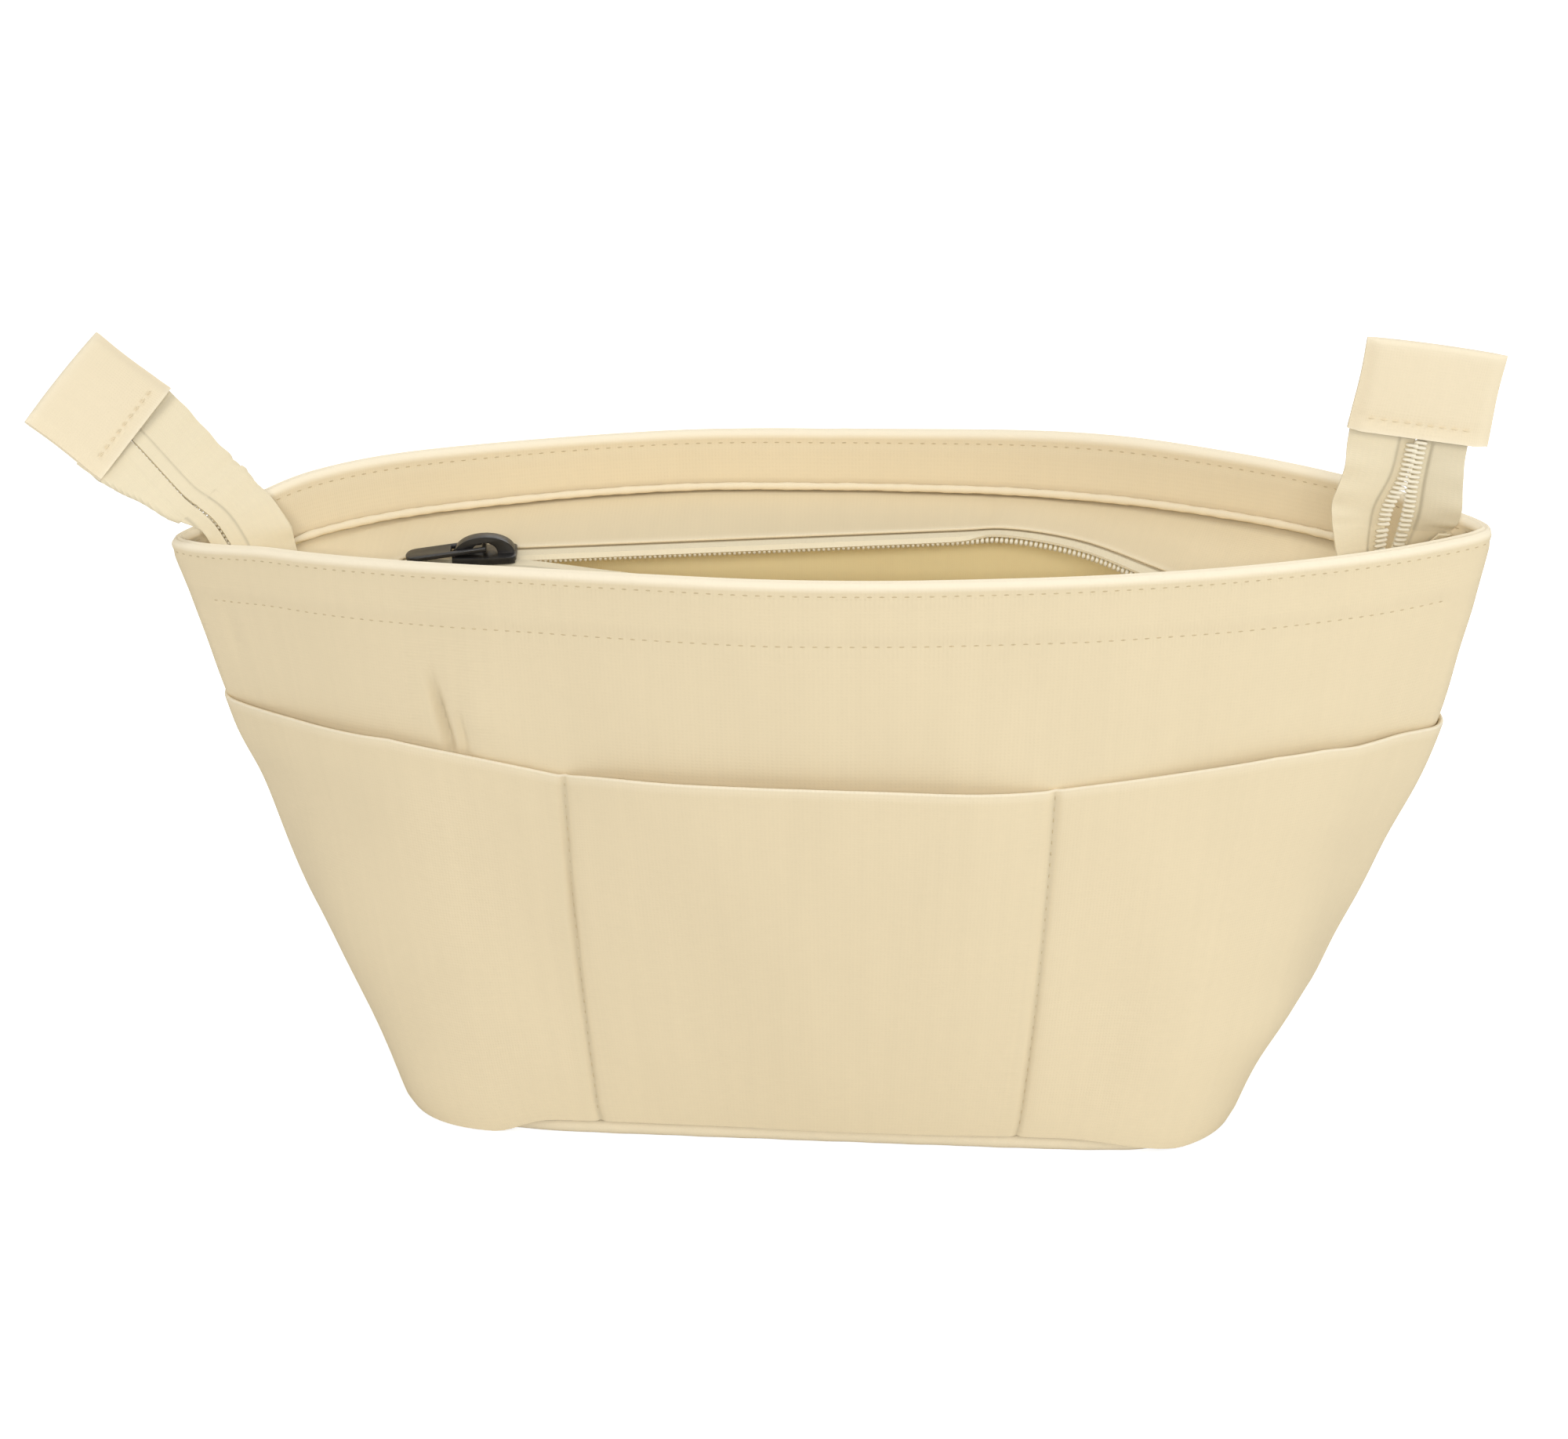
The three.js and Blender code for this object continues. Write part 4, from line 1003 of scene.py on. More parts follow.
class SewBase(bpy.types.Operator):
    """Sew the base: its canvas, the lined board inside and the piping round the foot"""

    bl_idname = "organizer.sew_base"
    bl_label = "Base and piping"

    def plate(self, name, nodes, inset, level, thickness, dome, inside):
        """A domed sheet on the base: the canvas under it, or the lined board inside."""
        size = body_sizes()
        inset = inset + size.foot_tuck
        reach = size.base_length / 2 - inset
        quarter = math.pi / 2
        x = np.sin(np.linspace(-quarter, quarter, 73)) * reach
        rows = np.sin(np.linspace(-quarter, quarter, 37))
        droop = 0.35 * thickness * (1 if inside else -1)

        def plate_at(x, row):
            edge = smooth(0.94, 1.0, np.maximum(np.abs(x) / reach, np.abs(row)))
            swell = np.cos(quarter * x / reach) * np.cos(quarter * row)
            z = level + dome * swell - edge * droop
            return np.stack([x, row * base_half_depth(x, inset), z], axis=-1)

        cut = (2 * reach, size.base_depth - 2 * inset)
        sheet = lay_cloth(name, x if inside else x[::-1], rows, plate_at, cut)
        finish, slot = ("lining cloth", "lining") if inside else ("woven canvas", "canvas")
        sew_sheet(sheet, cut, thickness, finish, slot, nodes)

    def execute(self, context):
        size = body_sizes()
        self.plate("base_cloth", ["base_skin"], 0.2 * MM, 0, 1 * MM, 0.15 * MM, False)
        nodes = ["base_board", "base_lining"]
        self.plate("base_floor_cloth", nodes, 4.4 * MM, 4.3 * MM, 2.6 * MM, 0.5 * MM, True)

        def roll_at(place, angle):
            """The roll stands off the foot until its whole outline clears the tucked wall."""
            behind = place > 1
            s = np.where(behind, 2 - place, place)
            foot = wall_spot(s, np.zeros_like(s))
            out = unit(wall_out(s, np.zeros_like(s)) * np.array([1, 1, 0]))
            wide = size.base_roll_width / 2 * roll_share(s)
            tall = size.base_roll_height / 2 * roll_share(s)
            middle = tall + 0.15 * MM
            needs = []
            for turned in np.linspace(0, 2 * math.pi, 16, endpoint=False):
                above = np.maximum(middle + tall * math.sin(turned) - size.wall_foot, 0)
                wall = wall_spot(s, share_of_height(above))
                needs.append(np.sum((wall - foot) * out, axis=-1) - wide * math.cos(turned))
            clear = np.max(needs, axis=0) + 0.25 * MM
            plump = 1 + 0.04 * np.sin(61 * place) * np.sin(23 * place)
            spot = foot + out * (clear + wide * plump * np.cos(angle))[..., None]
            spot[..., 2] = np.maximum(middle + tall * plump * np.sin(angle), 0)
            spot[..., 1] = np.where(behind, -spot[..., 1], spot[..., 1])
            return spot

        def foot_wear(place, angle):
            return np.full_like(place, 0.3)

        half = stations(1, 90)
        ring = np.concatenate([half, 2 - half[::-1][1:]])
        cut = (4 * rim_half_length(), math.pi / 2 * (size.base_roll_width + size.base_roll_height))
        roll_piping("base_roll", ring, roll_at, cut, foot_wear, "base_piping")
        return {"FINISHED"}


def smooth_run(knots, places):
    """A centripetal curve through the knots, read at places counted in knots."""
    knots = np.asarray(knots, float)
    first = 2 * knots[0] - knots[1]
    last = 2 * knots[-1] - knots[-2]
    padded = np.vstack([first, knots, last])
    index = np.clip(np.floor(places).astype(int), 0, len(knots) - 2)
    share = (places - index)[:, None]
    p0, p1, p2, p3 = (padded[index + k] for k in range(4))

    def gap(a, b):
        return np.maximum(np.sum((b - a) ** 2, axis=1, keepdims=True) ** 0.25, 1e-6)

    d0, d1, d2 = gap(p0, p1), gap(p1, p2), gap(p2, p3)
    leave = ((p1 - p0) / d0 - (p2 - p0) / (d0 + d1) + (p2 - p1) / d1) * d1
    arrive = ((p2 - p1) / d1 - (p3 - p1) / (d1 + d2) + (p3 - p2) / d2) * d1
    square = -3 * p1 + 3 * p2 - 2 * leave - arrive
    cube = 2 * p1 - 2 * p2 + leave + arrive
    return p1 + leave * share + square * share**2 + cube * share**3


class ZipLine:
    """Where the zip runs: the slider, the two tails and both halves, in metres."""

    def __init__(self):
        body = body_sizes()
        size = zip_sizes()
        self.half_rim = body.rim_length / 2
        self.seam_height = wall_spot(np.array(0.0), np.array(seam_level()))[2]
        level = self.seam_height - size.slider_drop
        self.slider = np.array([size.slider_inset - self.half_rim, size.slider_back, level])
        self.along = unit(np.array(ZIP_HEADING))
        self.across = unit(np.array([-self.along[1], self.along[0], 0]))
        self.left_up, self.left_across = self.left_frame(size.left_rise)
        self.left_cap_up, self.left_cap_across = self.left_frame(size.left_cap_rise)
        tip = body.wall_height - body.drop_left
        self.left_hinge = np.array([size.left_inset - self.half_rim, 0, tip + size.left_lift])
        lean, turned = size.right_lean, size.right_turn
        self.right_up = np.array([math.sin(lean), 0, math.cos(lean)])
        level = np.array([math.cos(lean), 0, -math.sin(lean)])
        self.right_across = level * math.cos(turned) + np.array([0, math.sin(turned), 0])
        tip = body.wall_height - body.drop_right
        self.right_hinge = np.array([self.half_rim - size.right_inset, 0, tip + size.right_lift])
        self.tails = {
            True: (self.left_hinge, self.left_up, self.left_across, size.left_length),
            False: (self.right_hinge, self.right_up, self.right_across, size.right_length),
        }
        self.tail_lane = size.coil_width / 2 + 0.15 * MM
        self.back_lane = size.coil_width / 2 + 1.5 * MM
        self.front_lane = self.back_lane - size.coil_width - 0.75 * MM
        self.slit = 2.4 * MM
        self.halves = {back: self.half(back) for _, back in SIDES}

    def left_frame(self, rise):
        twist = zip_sizes().left_twist
        slope = np.array([math.sin(rise), 0, math.cos(rise)])
        across = slope * math.sin(twist) + np.array([0, math.cos(twist), 0])
        return np.array([-math.cos(rise), 0, math.sin(rise)]), across

    def at(self, along, across):
        return self.slider + (self.along * along + self.across * across) * MM

    def seam_root(self, s, back):
        """Where a panel is sewn on, inside the wall under the piping."""
        body = body_sizes()
        drop = body.seam_roll / 2 + zip_sizes().panel / 2 + 0.6 * MM
        return on_wall(s, seam_level() - share_of_height(drop), -body.wall - 0.3 * MM, back)

    def straight(self, back):
        """Stations beside the slider, in mm: along it, across it, and place on the zip seam."""
        run = zip_sizes().zip_run / MM
        if back:
            lane = self.back_lane / MM
            rows = [(-16, -0.6), (0, -0.51), (30, -0.34), (62, -0.16), (95, 0.04)]
            rows += [(run - 10, 0.19), (run, 0.26)]
            return [(along, lane, seam) for along, seam in rows]
        lane = self.front_lane / MM
        entering = [(-16, lane, -0.6), (-11.5, lane, -0.57), (-6.2, -1.4, -0.545)]
        past_wedge = [(-3.6, -2.5, -0.53), (0.5, -2.75, -0.51), (8.6, -2.95, -0.46)]
        parting = [(31, -13, -0.33), (60, -26, -0.16), (92, -38, 0.04), (run, -50, 0.26)]
        return entering + past_wedge + parting

    def half(self, back):
        """Stations of one half: coil spot, tape reach, place of the seam root, width direction."""
        size = zip_sizes()
        side = 1 if back else -1
        rows = []

        def add(spot, reach, seam=None, width=None):
            """Tape without a width direction of its own aims at its root in the seam."""
            if width is None:
                width = self.seam_root(seam, back) - TAPE_UNDER - spot
            place = np.nan if seam is None else seam
            rows.append((spot, reach * MM, place, unit(np.asarray(width, float))))

        full = size.tape_width / MM + size.coil_width / MM / 2
        narrow = (size.left_narrow - self.tail_lane) / MM
        root = self.left_hinge + self.left_across * (side * self.tail_lane - self.slit)
        add(root, full + self.slit / MM if back else narrow, None, side * self.left_across)
        chain_half = self.tail_lane + 0.25 * MM
        for inset, off, below, back_reach, front_reach, seam, width in LEFT_STATIONS:
            way = unit(np.array(width or (0, 1, 0))) * side
            spot = np.array([inset * MM - self.half_rim, off * MM, self.seam_height - below * MM])
            reach = back_reach if back else front_reach
            add(spot + way * chain_half, reach, seam, way if width else None)
        for along, away, seam in self.straight(back):
            add(self.at(along, away), STRAIGHT_REACH, seam)
        facing = np.array([1, side, 1])
        for inset, off, below, reach, seam, width in RIGHT_STATIONS:
            away = np.array([-inset, side * off, -below]) * MM
            spot = np.array([self.half_rim, 0, self.seam_height]) + away
            add(spot, reach, seam, width * facing if width else None)
        spot = self.right_hinge + (spot - self.right_hinge) * TURNING_SHARE
        spread = self.right_across * side * (0.7 * MM + PARTED[back])
        add(spot + spread, TURNING_REACH, None, (0.85 * side, 0.5 * side, -0.1))
        spot = self.right_hinge + self.right_across * side * (self.tail_lane + PARTED[back])
        add(spot, RIGHT_REACH, None, side * self.right_across)
        return tuple(np.array(column) for column in zip(*rows))

    def cap_frame(self, left):
        """Foot, upward and width directions of a cap."""
        hinge, up, across, tall = self.tails[left]
        foot = hinge + up * tall
        if left:
            return foot, self.left_cap_up, self.left_cap_across
        return foot, up, across

    def run(self, back, places):
        """Spot, width direction, upward face and reach of one half at the places."""
        spots, reaches, _, widths = self.halves[back]
        places = np.clip(places, 0, len(spots) - 1)
        at = smooth_run(spots, places)
        step = 0.01
        ahead = smooth_run(spots, np.clip(places + step, 0, len(spots) - 1))
        behind = smooth_run(spots, np.clip(places - step, 0, len(spots) - 1))
        width = unit(smooth_run(widths, places))
        face = unit(np.cross(ahead - behind, width)) * (1 if back else -1)
        reach = np.interp(places, np.arange(len(reaches)), reaches)
        return at, width, face, reach

    def last(self, back):
        return len(self.halves[back][0]) - 1

    def tail(self, left, back, distances):
        """Spot, width direction, upward face and reach of a tail at distances above its hinge."""
        size = zip_sizes()
        side = 1 if back else -1
        _, up, across, tall = self.tails[left]
        foot, cap_up, cap_across = self.cap_frame(left)
        joined = smooth(0, 0.5 * tall, distances)
        lane = self.tail_lane + (0 if left else PARTED[back]) * (1 - joined)
        capped = (distances > tall)[:, None]
        ups = np.where(capped, cap_up, up)
        acrosses = np.where(capped, cap_across, across)
        shift = lane * side - (self.slit if left else 0)
        at = foot + ups * (distances - tall)[:, None] + acrosses * shift[:, None]
        face = np.cross(ups, acrosses) * (-1 if left else 1)
        full = size.coil_width / 2 + size.tape_width
        start, stop = RIGHT_REACH * MM, full
        if left and back:
            start = stop = full + self.slit
        elif left:
            start, stop = size.left_narrow - self.tail_lane, full - self.slit
        elif back:
            stop = RIGHT_BACK_REACH * MM
        reach = start + (stop - start) * smooth(0, tall, distances)
        return at, acrosses * side, face, reach


def lay_tape(name, run, order, edge, nodes, blend=None, trimmed=False, shade_rows=0.0, lined=0.75):
    """Woven tape beside a coil, turned under where it has less reach than its width."""
    at, width, face, reach = run
    size = zip_sizes()
    count = np.arange(len(at))
    ridged = np.linspace(0.15, 0.45, 19)
    across = np.concatenate([np.linspace(0, 0.15, 4)[:-1], ridged, np.linspace(0.45, 1, 12)[1:]])
    ridge = size.coil_width / 2 + 1.5 * MM
    full = max(size.coil_width / 2 + size.tape_width, float(np.max(reach)))
    curl = 0.9 * MM
    bend = reach - curl * smooth(0, curl, full - reach)
    if trimmed:
        bend = reach
    edge = np.broadcast_to(edge, len(at))
    shade_rows = np.broadcast_to(shade_rows, len(at))
    inner = smooth(0, 8, count) * smooth(0, 8, len(at) - 1 - count)

    def width_at(i, share):
        return edge[i] + ((reach[i] if trimmed else full) - edge[i]) * share

    def tape_shading(i, share):
        # Painted shade: a darker line along the coil's ridge, plus the shade given per row.
        i = np.round(i).astype(int)
        return -lined * hollow(width_at(i, share) - ridge, 0.4 * MM) - shade_rows[i]

    def tape_at(i, share):
        i = np.round(i).astype(int)
        wide = width_at(i, share)
        spare = np.maximum(wide - bend[i], 0)
        angle = np.minimum(spare / curl, math.pi)
        doubled = np.maximum(spare - math.pi * curl, 0)
        out = np.minimum(wide, bend[i]) + curl * np.sin(angle) - doubled
        lift = 0.35 * MM * (1 - smooth(ridge - 0.6 * MM, ridge + 0.6 * MM, wide))
        ripple = 0.18 * MM * np.sin(i * 0.55) * smooth(0.3, 1.0, share) * inner[i]
        hung = 1.3 * np.maximum(-size.coil_width / 2 - wide, 0)
        lift = lift + ripple - hung - curl * (1 - np.cos(angle))
        return at[i] + width[i] * out[:, None] + face[i] * lift[:, None]

    longest = max(run_length(at), run_length(at + width * reach[:, None]))
    cut = (longest, full - float(np.min(edge)))
    rows = count[::-1] if order < 0 else count
    piece = lay_cloth(name, rows, across, tape_at, cut, tape_shading)
    carried = {"body": None if blend else "bag", "rests_on": "back_zip_panel"}
    sew_sheet(piece, cut, size.tape, "zip tape", "zip_tape", nodes, offset=0, **carried)
    if blend:
        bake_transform(piece)


def copies(name, shape, spots, forward, side, up):
    """One small shape copied to every spot, turned to the three directions there."""
    corners = spots_of(shape)
    faces = [tuple(face.vertices) for face in shape.data.polygons]
    turned = (
        corners[None, :, 0, None] * forward[:, None, :]
        + corners[None, :, 1, None] * side[:, None, :]
        + corners[None, :, 2, None] * up[:, None, :]
        + spots[:, None, :]
    )
    each = len(corners)
    all_faces = [
        tuple(corner + k * each for corner in face) for k in range(len(spots)) for face in faces
    ]
    mesh = bpy.data.meshes.new(name)
    mesh.from_pydata(turned.reshape(-1, 3).tolist(), [], all_faces)
    mesh.update()
    made = bpy.data.objects.new(name, mesh)
    bpy.context.scene.collection.objects.link(made)
    bpy.data.objects.remove(shape, do_unlink=True)
    soften(made, 80)
    return made


def even_places(line, pitch, offset=0.0):
    """Places, counted in line points, that are a pitch apart along the line."""
    gaps = np.linalg.norm(np.diff(line, axis=0), axis=1)
    run = np.concatenate([[0], np.cumsum(gaps)])
    marks = np.arange(offset + pitch / 2, run[-1], pitch)
    return np.interp(marks, run, np.arange(len(line)))


def pick_rows(rows, places):
    """Rows read at places between them."""
    low = np.clip(np.floor(places).astype(int), 0, len(rows) - 2)
    share = (places - low)[:, None]
    return rows[low] * (1 - share) + rows[low + 1] * share


def bead(segments):
    """A small ball to be shaped into a tooth or a stitch."""
    bpy.ops.object.select_all(action="DESELECT")
    bpy.ops.mesh.primitive_uv_sphere_add(segments=segments, ring_count=6, radius=1)
    return bpy.context.object


def tooth_shape():
    """One turn of the coil: a rounded bar that is thicker at its coupling end."""
    size = zip_sizes()
    tooth = bead(8)
    spots = spots_of(tooth)
    reach = size.coil_width / 2 + 0.45 * MM
    head = 1 + 0.25 * smooth(-0.2, -0.8, spots[:, 1])
    square = np.sign(spots) * np.abs(spots) ** 0.7
    shaped = np.stack(
        [
            square[:, 0] * 0.36 * size.tooth_pitch * head,
            square[:, 1] * reach - 0.4 * MM,
            square[:, 2] * size.coil_height / 2,
        ],
        axis=-1,
    )
    place_spots(tooth, shaped)
    return tooth


def coil_teeth(name, run, offset, nodes, blend=None):
    """Coil teeth sewn under the tape's inner edge."""
    at, width, face, _ = run
    size = zip_sizes()
    places = even_places(at, size.tooth_pitch, offset)
    spots = pick_rows(at, places)
    side = unit(pick_rows(width, places))
    up = unit(pick_rows(face, places))
    forward = unit(np.cross(side, up))
    spots = spots - up * (size.tape / 2 + size.coil_height / 2 - 0.1 * MM)
    teeth = copies(name, tooth_shape(), spots, forward, side, up)
    finish_piece(teeth, finish_named("nylon coil"), nodes, None if blend else "bag")
    if blend:
        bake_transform(teeth)


class LayZip(bpy.types.Operator):
    """Lay the zip inside the mouth: tapes, coils and the folded cloth panels beside them"""

    bl_idname = "organizer.lay_zip"
    bl_label = "Zip tapes, coils and panels"

    def panel(self, line, side, back):
        size = zip_sizes()
        _, _, seams, _ = line.halves[back]
        seamed = np.nonzero(~np.isnan(seams))[0]
        places = np.linspace(seamed[0] - 0.45, seamed[-1] + 0.5, 150)
        at, width, face, _ = line.run(back, places)
        knots = [seamed[0] - 1, *seamed, seamed[-1] + 1]
        root = line.seam_root(np.interp(places, knots, [-0.88, *seams[seamed], 0.82]), back)
        root = root + PANEL_OVER
        setback = size.panel_setback * (0.6 if back else 1)
        fold = at + width * setback + face * (size.tape / 2 + 0.3 * MM + size.panel / 2)
        radius = size.panel * 0.45
        hem = 5 * MM

        def panel_at(i, step):
            i = np.round(i).astype(int)
            share, angle, inside = hem_parts(step)
            line_out = unit(fold[i] - root[i])
            spot = root[i] + (fold[i] - root[i]) * share[:, None]
            sag = np.sin(math.pi * share) * (0.1 + 0.25 * np.sin(i * 0.16 + 1))
            wave = 0.12 * np.sin(i * 0.5) * np.sin(math.pi * share)
            crease = -0.5 * hollow(i - 96, 1.6) * np.sin(math.pi * share)
            lift = radius * np.cos(angle) - (sag - wave - crease) * MM
            ahead = radius * np.sin(angle) - hem * inside
            return spot + face[i] * lift[:, None] + line_out * ahead[:, None]

        def panel_wear_and_shading(i, step):
            # Paler along the fold, partly rubbing and partly painted highlight; painted shade
            # darkens the root under the piping.
            folded = 0.4 * hollow(step - 1.8, 1.0) * (step > 0.98)
            return folded - 0.8 * (1 - smooth(0.0, 0.12, step))

        count = np.arange(len(places))
        deep = float(np.max(np.linalg.norm(fold - root, axis=1))) + hem
        cut = (run_length(fold) * 1.1, deep)
        order = count[::-1] if back else count
        rows = hemmed_rows(16, 7, 5)
        cloth = lay_cloth(f"{side}_panel_cloth", order, rows, panel_at, cut, panel_wear_and_shading)
        sew_sheet(cloth, cut, radius * 0.9, "woven canvas", "canvas", [f"{side}_zip_panel"])

    def execute(self, context):
        line = ZipLine()
        size = zip_sizes()
        lip = 0.75 * MM
        for side, back in SIDES:
            parts = ["back"] if back else ["front_left", "front_throat", "front_right"]
            tapes = [f"{part}_zip_tape" for part in parts]
            coils = [f"{part}_zip_coil" for part in parts]
            places = np.linspace(0.43, line.last(back) - 0.43, 340)
            run = line.run(back, places)
            edge = -size.coil_width / 2
            if back:
                # Between these stations a lip of the back tape hangs over its coil.
                cover = smooth(8.8, 9.3, places) * (1 - smooth(12.8, 13.8, places))
                edge = edge - lip * cover
            order = 1 if back else -1
            lay_tape(f"{side}_zip_weave", run, order, edge, tapes, trimmed=not back)
            offset = 0 if back else size.tooth_pitch / 2
            coil_teeth(f"{side}_zip_teeth", run, offset, coils)
            self.panel(line, side, back)
        return {"FINISHED"}


def eased(below, above):
    """Two runs joined into one, with the bend between them rounded and both ends kept."""
    joined = [np.concatenate([low, high]) for low, high in zip(below, above)]
    for rows in joined:
        for _ in range(30):
            rows[1:-1] = (rows[:-2] + 2 * rows[1:-1] + rows[2:]) / 4
    at, width, face, reach = joined
    return at, unit(width), unit(face), reach


class HangTails(bpy.types.Operator):
    """Hang the two zip tails on the ends of the chain and fold a cloth cap over each"""

    bl_idname = "organizer.hang_tails"
    bl_label = "Zip tails and caps"

    def cap(self, line, left):
        size = zip_sizes()
        name = "left" if left else "right"
        foot, up, across = line.cap_frame(left)
        face = np.cross(up, across)
        half = size.cap_thickness / 2
        reach = size.cap_length - half
        width = size.cap_width
        climb = np.linspace(0, reach, 22)
        around = reach + np.linspace(0, math.pi * half, 13)[1:]
        down = reach + math.pi * half + climb[1:]
        along = np.concatenate([climb, around, down])
        total = 2 * reach + math.pi * half
        beside = stations(1, 17, 1.6)

        def cap_at(share, run):
            angle = np.clip((run - reach) / half, 0, math.pi)
            falling = np.maximum(run - reach - math.pi * half, 0)
            height = np.minimum(run, reach) + half * np.sin(angle) - falling
            pinch = 1 - 0.72 * smooth(0.8, 1.0, np.abs(share))
            seam = 0.25 * MM * hollow(height - CAP_STITCH, 1.0 * MM)
            plump = 0.3 * MM * np.sin(math.pi * np.clip(height / reach, 0, 1)) * (1 - share**2)
            lip = 0.5 * MM * (1 - smooth(0, 2.6 * MM, height))
            stand = (half - seam + plump + lip) * np.cos(angle) * pinch
            flare = 1 + 0.012 * np.cos(height / reach * 5)
            rise = height - 0.4 * MM * share**2 * smooth(0.8 * reach, reach, height)
            return (
                foot
                + np.outer(rise, up)
                + np.outer(share * width / 2 * flare, across)
                + np.outer(stand, face)
            )

        def cap_wear_and_highlight(share, run):
            # Painted light: the whole cap is paler, and palest along its fold and mouth, where it
            # is partly rubbing too.
            fold = hollow((run - total / 2) / MM, 2.2)
            mouth = hollow(np.minimum(run, total - run) / MM, 0.8)
            return 0.35 + 0.4 * np.maximum(fold, 0.7 * mouth)

        cut = (width, total)
        cloth = lay_cloth(f"{name}_tail_cap_cloth", beside, along, cap_at, cut, cap_wear_and_highlight)
        nodes = [f"{name}_tail_cap"]
        carried = {"held": "folded", "body": f"{name}_tail"}
        sew_sheet(cloth, cut, CAP_CLOTH, "woven canvas", "canvas", nodes, offset=1, **carried)

    def execute(self, context):
        line = ZipLine()
        size = zip_sizes()
        tuck = 7 * MM
        start = 0.4 * MM
        half_bend = 5 * MM
        edge = -size.coil_width / 2 + 0.1 * MM
        roots = np.linspace(0.45, 0.02, 16)
        for name, left in TAILS:
            hinge, up, _, tall = line.tails[left]
            bend = ("bag", f"{name}_tail", hinge - up * half_bend, hinge + up * half_bend)
            climb = np.linspace(start, tall + tuck, 40)
            coil_climb = np.linspace(start, tall - 0.8 * MM, 30)
            for side, back in SIDES:
                below = line.run(back, roots if left else line.last(back) - roots)
                # Painted shadow on the tape just under the cap's mouth; painted shade all along the
                # right tail's back half, which is turned from the light.
                shaded = 0.8 * hollow(climb - tall + 0.4 * MM, 1.0 * MM)
                # Strength of the painted shade line along the coil's ridge.
                lined = 0.75
                coils = [f"{name}_tail_coil_{side}"]
                if left:
                    lined = 0.45 if back else 0.1
                    coils = ["left_tail_coil"] if back else []
                elif back:
                    shaded = shaded + 0.3
                shade_rows = np.concatenate([np.full(len(roots), shaded[0]), shaded])
                order = 1 if back != left else -1
                tapes = [f"{name}_tail_tape_{side}"]
                weave = f"{name}_tail_weave_{side}"
                run = eased(below, line.tail(left, back, climb))
                lay_tape(weave, run, order, edge, tapes, bend, not left, shade_rows, lined)
                offset = 0 if back else size.tooth_pitch / 2
                run = eased(below, line.tail(left, back, coil_climb))
                coil_teeth(f"{name}_tail_teeth_{side}", run, offset, coils, bend)
            self.cap(line, left)
        return {"FINISHED"}


def metal_copy(node, name, body, bevel):
    """A finished copy of a metal part with its edges rounded."""
    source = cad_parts[node]
    copy = bpy.data.objects.new(name, source.data.copy())
    bpy.context.scene.collection.objects.link(copy)
    copy.data.name = name
    open_merged(copy)
    bpy.ops.mesh.dissolve_limited(angle_limit=math.radians(4))
    bpy.ops.object.mode_set(mode="OBJECT")
    apply(
        copy,
        "BEVEL",
        width=bevel,
        segments=3,
        limit_method="ANGLE",
        angle_limit=math.radians(32),
        use_clamp_overlap=True,
    )
    soften(copy, 45)
    finish_piece(copy, finish_named("black enamel"), [node], body)


class CastSlider(bpy.types.Operator):
    """Finish the cast slider and its puller with rounded edges and black enamel"""

    bl_idname = "organizer.cast_slider"
    bl_label = "Slider and puller"

    def execute(self, context):
        metal_copy("zip_slider_body", "slider_casting", "slider", 0.35 * MM)
        metal_copy("zip_puller", "puller_casting", "puller", 0.3 * MM)
        return {"FINISHED"}


def stitch_shape():
    """One sewn stitch: a plump thread that dips at both ends."""
    size = body_sizes()
    stitch = bead(6)
    spots = spots_of(stitch)
    long = spots[:, 2]
    thin = 0.18 * MM
    shaped = np.stack(
        [
            long * size.stitch / 2,
            spots[:, 1] * thin,
            spots[:, 0] * thin - 0.22 * MM * long**2,
        ],
        axis=-1,
    )
    place_spots(stitch, shaped)
    return stitch


def sew_line(line, out):
    """Spots and directions of stitches along a line of points that lie on cloth."""
    places = even_places(line, body_sizes().stitch_pitch)
    spots = pick_rows(line, places)
    up = unit(pick_rows(out, places))
    ahead = pick_rows(line, np.clip(places + 0.5, 0, len(line) - 1))
    forward = unit(ahead - pick_rows(line, np.clip(places - 0.5, 0, len(line) - 1)))
    side = unit(np.cross(up, forward))
    return spots, forward, side, np.cross(forward, side)


def join_lines(lines):
    return [np.concatenate(parts) for parts in zip(*lines)]


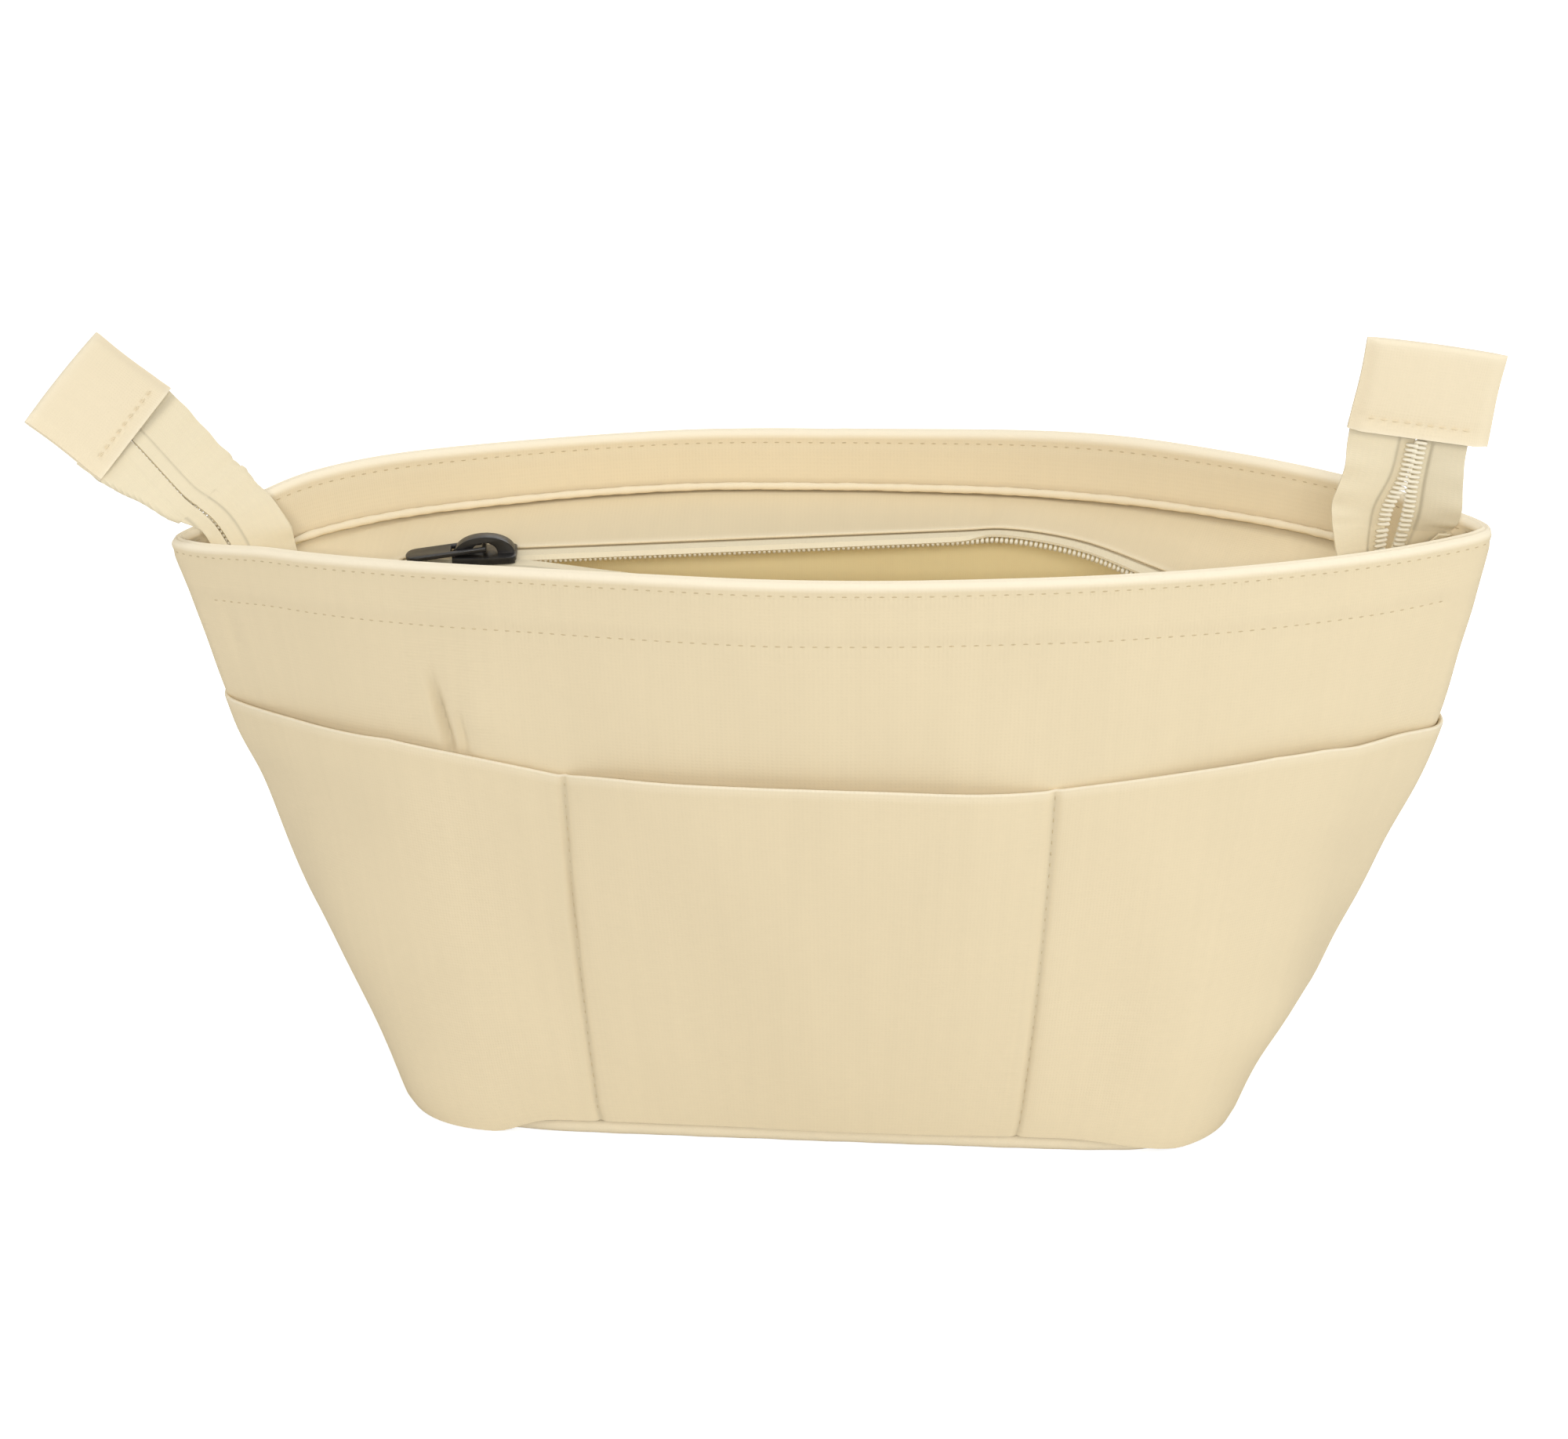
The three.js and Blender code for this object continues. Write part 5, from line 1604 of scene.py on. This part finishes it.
class SewStitches(bpy.types.Operator):
    """Sew the visible stitching: rim, zip seam, pocket dividers and caps"""

    bl_idname = "organizer.sew_stitches"
    bl_label = "Stitching"

    def wall_line(self, s, height, out, back, inward=False):
        v = share_of_height(height)
        line = on_wall(s, v, out, back)
        normal = wall_out(s, np.broadcast_to(v, s.shape), back) * (-1 if inward else 1)
        return sew_line(line, normal * FRONT_TO_BACK if back else normal)

    def execute(self, context):
        size = body_sizes()
        thread = finish_named("thread")
        top, low = stitch_lines()
        rim = np.linspace(-0.985, 0.985, 260)
        seam = np.linspace(-0.92, 0.92, 240)
        rise = np.linspace(0.02, 0.985, 80)
        drawn = pucker(np.full_like(rim, top), rim)
        sunk = pucker(np.full_like(seam, low), seam)
        for side, back in SIDES:
            crease = front_creases(seam, share_of_height(low)) if not back else 0
            lines = [
                self.wall_line(rim, top, drawn, back),
                self.wall_line(rim, top, -size.wall - drawn, back, True),
                self.wall_line(seam, low, sunk + crease, back),
            ]
            for right in (False, True):
                s = divider_place(right, rise)
                lines.append(self.wall_line(s, pocket_level(s, rise), pocket_face(s, rise), back))
            rows = copies(f"{side}_stitches", stitch_shape(), *join_lines(lines))
            finish_piece(rows, thread, [])
        self.cap_rows(finish_named("pale thread"))
        return {"FINISHED"}

    def cap_rows(self, thread):
        line = ZipLine()
        size = zip_sizes()
        for name, left in TAILS:
            foot, up, across = line.cap_frame(left)
            beside = np.linspace(-0.8, 0.8, 40) * size.cap_width / 2
            lines = []
            for way in (1, -1):
                face = np.cross(up, across) * way
                stand = size.cap_thickness / 2 + CAP_CLOTH - 0.1 * MM
                row = foot + up * CAP_STITCH + np.outer(beside, across) + face * stand
                lines.append(sew_line(row, np.tile(face, (len(beside), 1))))
            rows = copies(f"{name}_cap_stitches", stitch_shape(), *join_lines(lines))
            finish_piece(rows, thread, [], f"{name}_tail")


def backdrop_rays(tree):
    """A socket that is 1 where a ray shows the backdrop: straight on, in gloss or through glass."""
    paths = tree.nodes.new("ShaderNodeLightPath")
    seen = paths.outputs["Is Camera Ray"]
    for kind in ("Is Glossy Ray", "Is Transmission Ray"):
        either = tree.nodes.new("ShaderNodeMath")
        either.operation = "MAXIMUM"
        tree.links.new(seen, either.inputs[0])
        tree.links.new(paths.outputs[kind], either.inputs[1])
        seen = either.outputs[0]
    return seen


class SetStage(bpy.types.Operator):
    """Set the plain floor, the soft lamps and the camera"""

    bl_idname = "organizer.set_stage"
    bl_label = "Stage"

    def lamp(self, name, spot, power, wide, tall, tint):
        bpy.ops.object.light_add(type="AREA", location=spot)
        lamp = bpy.context.object
        lamp.name = name
        lamp.data.energy = power
        lamp.data.shape = "RECTANGLE"
        lamp.data.size = wide
        lamp.data.size_y = tall
        lamp.data.color = tint
        aim = Vector(LAMP_AIM) - Vector(spot)
        lamp.rotation_euler = aim.to_track_quat("-Z", "Y").to_euler()

    def floor(self):
        bpy.ops.object.select_all(action="DESELECT")
        bpy.ops.mesh.primitive_plane_add(size=8)
        floor = bpy.context.object
        floor.name = "studio_floor"
        finish = Finish("studio paper")
        seen = backdrop_rays(finish.material.node_tree)
        grain = finish.noise(3, 2)
        colour = colours().floor
        paper = finish.mixed(grain, toned(colour, 0.985), tuple(colour))
        finish.feed("Base Color", paper)
        finish.fix({"Roughness": 0.9, "Emission Color": (1, 1, 1, 1)})
        finish.feed("Emission Strength", finish.sums("MULTIPLY", seen, FLOOR_GLOW))
        floor.data.materials.append(finish.material)

    def sky(self):
        world = bpy.data.worlds.new("studio")
        bpy.context.scene.world = world
        world.use_nodes = True
        nodes = world.node_tree.nodes
        links = world.node_tree.links
        level = nodes.new("ShaderNodeMapRange")
        level.inputs["To Min"].default_value = FILL_LIGHT
        level.inputs["To Max"].default_value = 1.0
        links.new(backdrop_rays(world.node_tree), level.inputs["Value"])
        background = nodes["Background"]
        background.inputs["Color"].default_value = (1, 1, 1, 1)
        links.new(level.outputs["Result"], background.inputs["Strength"])

    def camera(self):
        yaw, pitch, roll = (math.radians(angle) for angle in CAMERA_TURN)
        forward = Vector(
            (math.sin(yaw) * math.cos(pitch), math.cos(yaw) * math.cos(pitch), -math.sin(pitch))
        )
        level = Vector((math.cos(yaw), -math.sin(yaw), 0))
        raised = level.cross(forward)
        right = level * math.cos(roll) + raised * math.sin(roll)
        up = raised * math.cos(roll) - level * math.sin(roll)
        data = bpy.data.cameras.new("photo camera")
        data.sensor_width = SENSOR_WIDTH
        data.lens = CAMERA_LENS
        data.clip_start = 0.05
        data.clip_end = 50
        camera = bpy.data.objects.new("photo_camera", data)
        bpy.context.scene.collection.objects.link(camera)
        axes = Matrix((right, up, -forward)).transposed().to_4x4()
        camera.matrix_world = Matrix.Translation(CAMERA_SPOT) @ axes
        bpy.context.scene.camera = camera

    def execute(self, context):
        context.scene.view_settings.view_transform = "Standard"
        self.floor()
        self.sky()
        for lamp in LAMPS:
            self.lamp(*lamp)
        self.camera()
        return {"FINISHED"}


class OrganizerPanel(bpy.types.Panel):
    """Lists the steps of the making in the sidebar"""

    bl_idname = "VIEW3D_PT_organizer"
    bl_label = "Organizer insert"
    bl_space_type = "VIEW_3D"
    bl_region_type = "UI"
    bl_category = "Organizer"

    def draw(self, context):
        for operator in OPERATORS:
            self.layout.operator(operator.bl_idname)
        for name, group in GROUPS.items():
            box = self.layout.box()
            for value in group.__annotations__:
                box.prop(getattr(context.scene, name), value)


OPERATORS = (
    SetStage,
    SewWalls,
    RollSeamPiping,
    SewPockets,
    SewBase,
    LayZip,
    HangTails,
    CastSlider,
    SewStitches,
)
GROUPS = {
    "organizer_body": OrganizerBody,
    "organizer_zip": OrganizerZip,
    "organizer_colours": OrganizerColours,
}


def register():
    for group in GROUPS.values():
        bpy.utils.register_class(group)
    for name, group in GROUPS.items():
        setattr(bpy.types.Scene, name, bpy.props.PointerProperty(type=group))
    for operator in OPERATORS:
        bpy.utils.register_class(operator)
    bpy.utils.register_class(OrganizerPanel)


def unregister():
    bpy.utils.unregister_class(OrganizerPanel)
    for operator in reversed(OPERATORS):
        bpy.utils.unregister_class(operator)
    for name in GROUPS:
        delattr(bpy.types.Scene, name)
    for group in reversed(GROUPS.values()):
        bpy.utils.unregister_class(group)


def main():
    register()
    for operator in OPERATORS:
        family, name = operator.bl_idname.split(".")
        getattr(getattr(bpy.ops, family), name)()


if __name__ == "__main__":
    main()
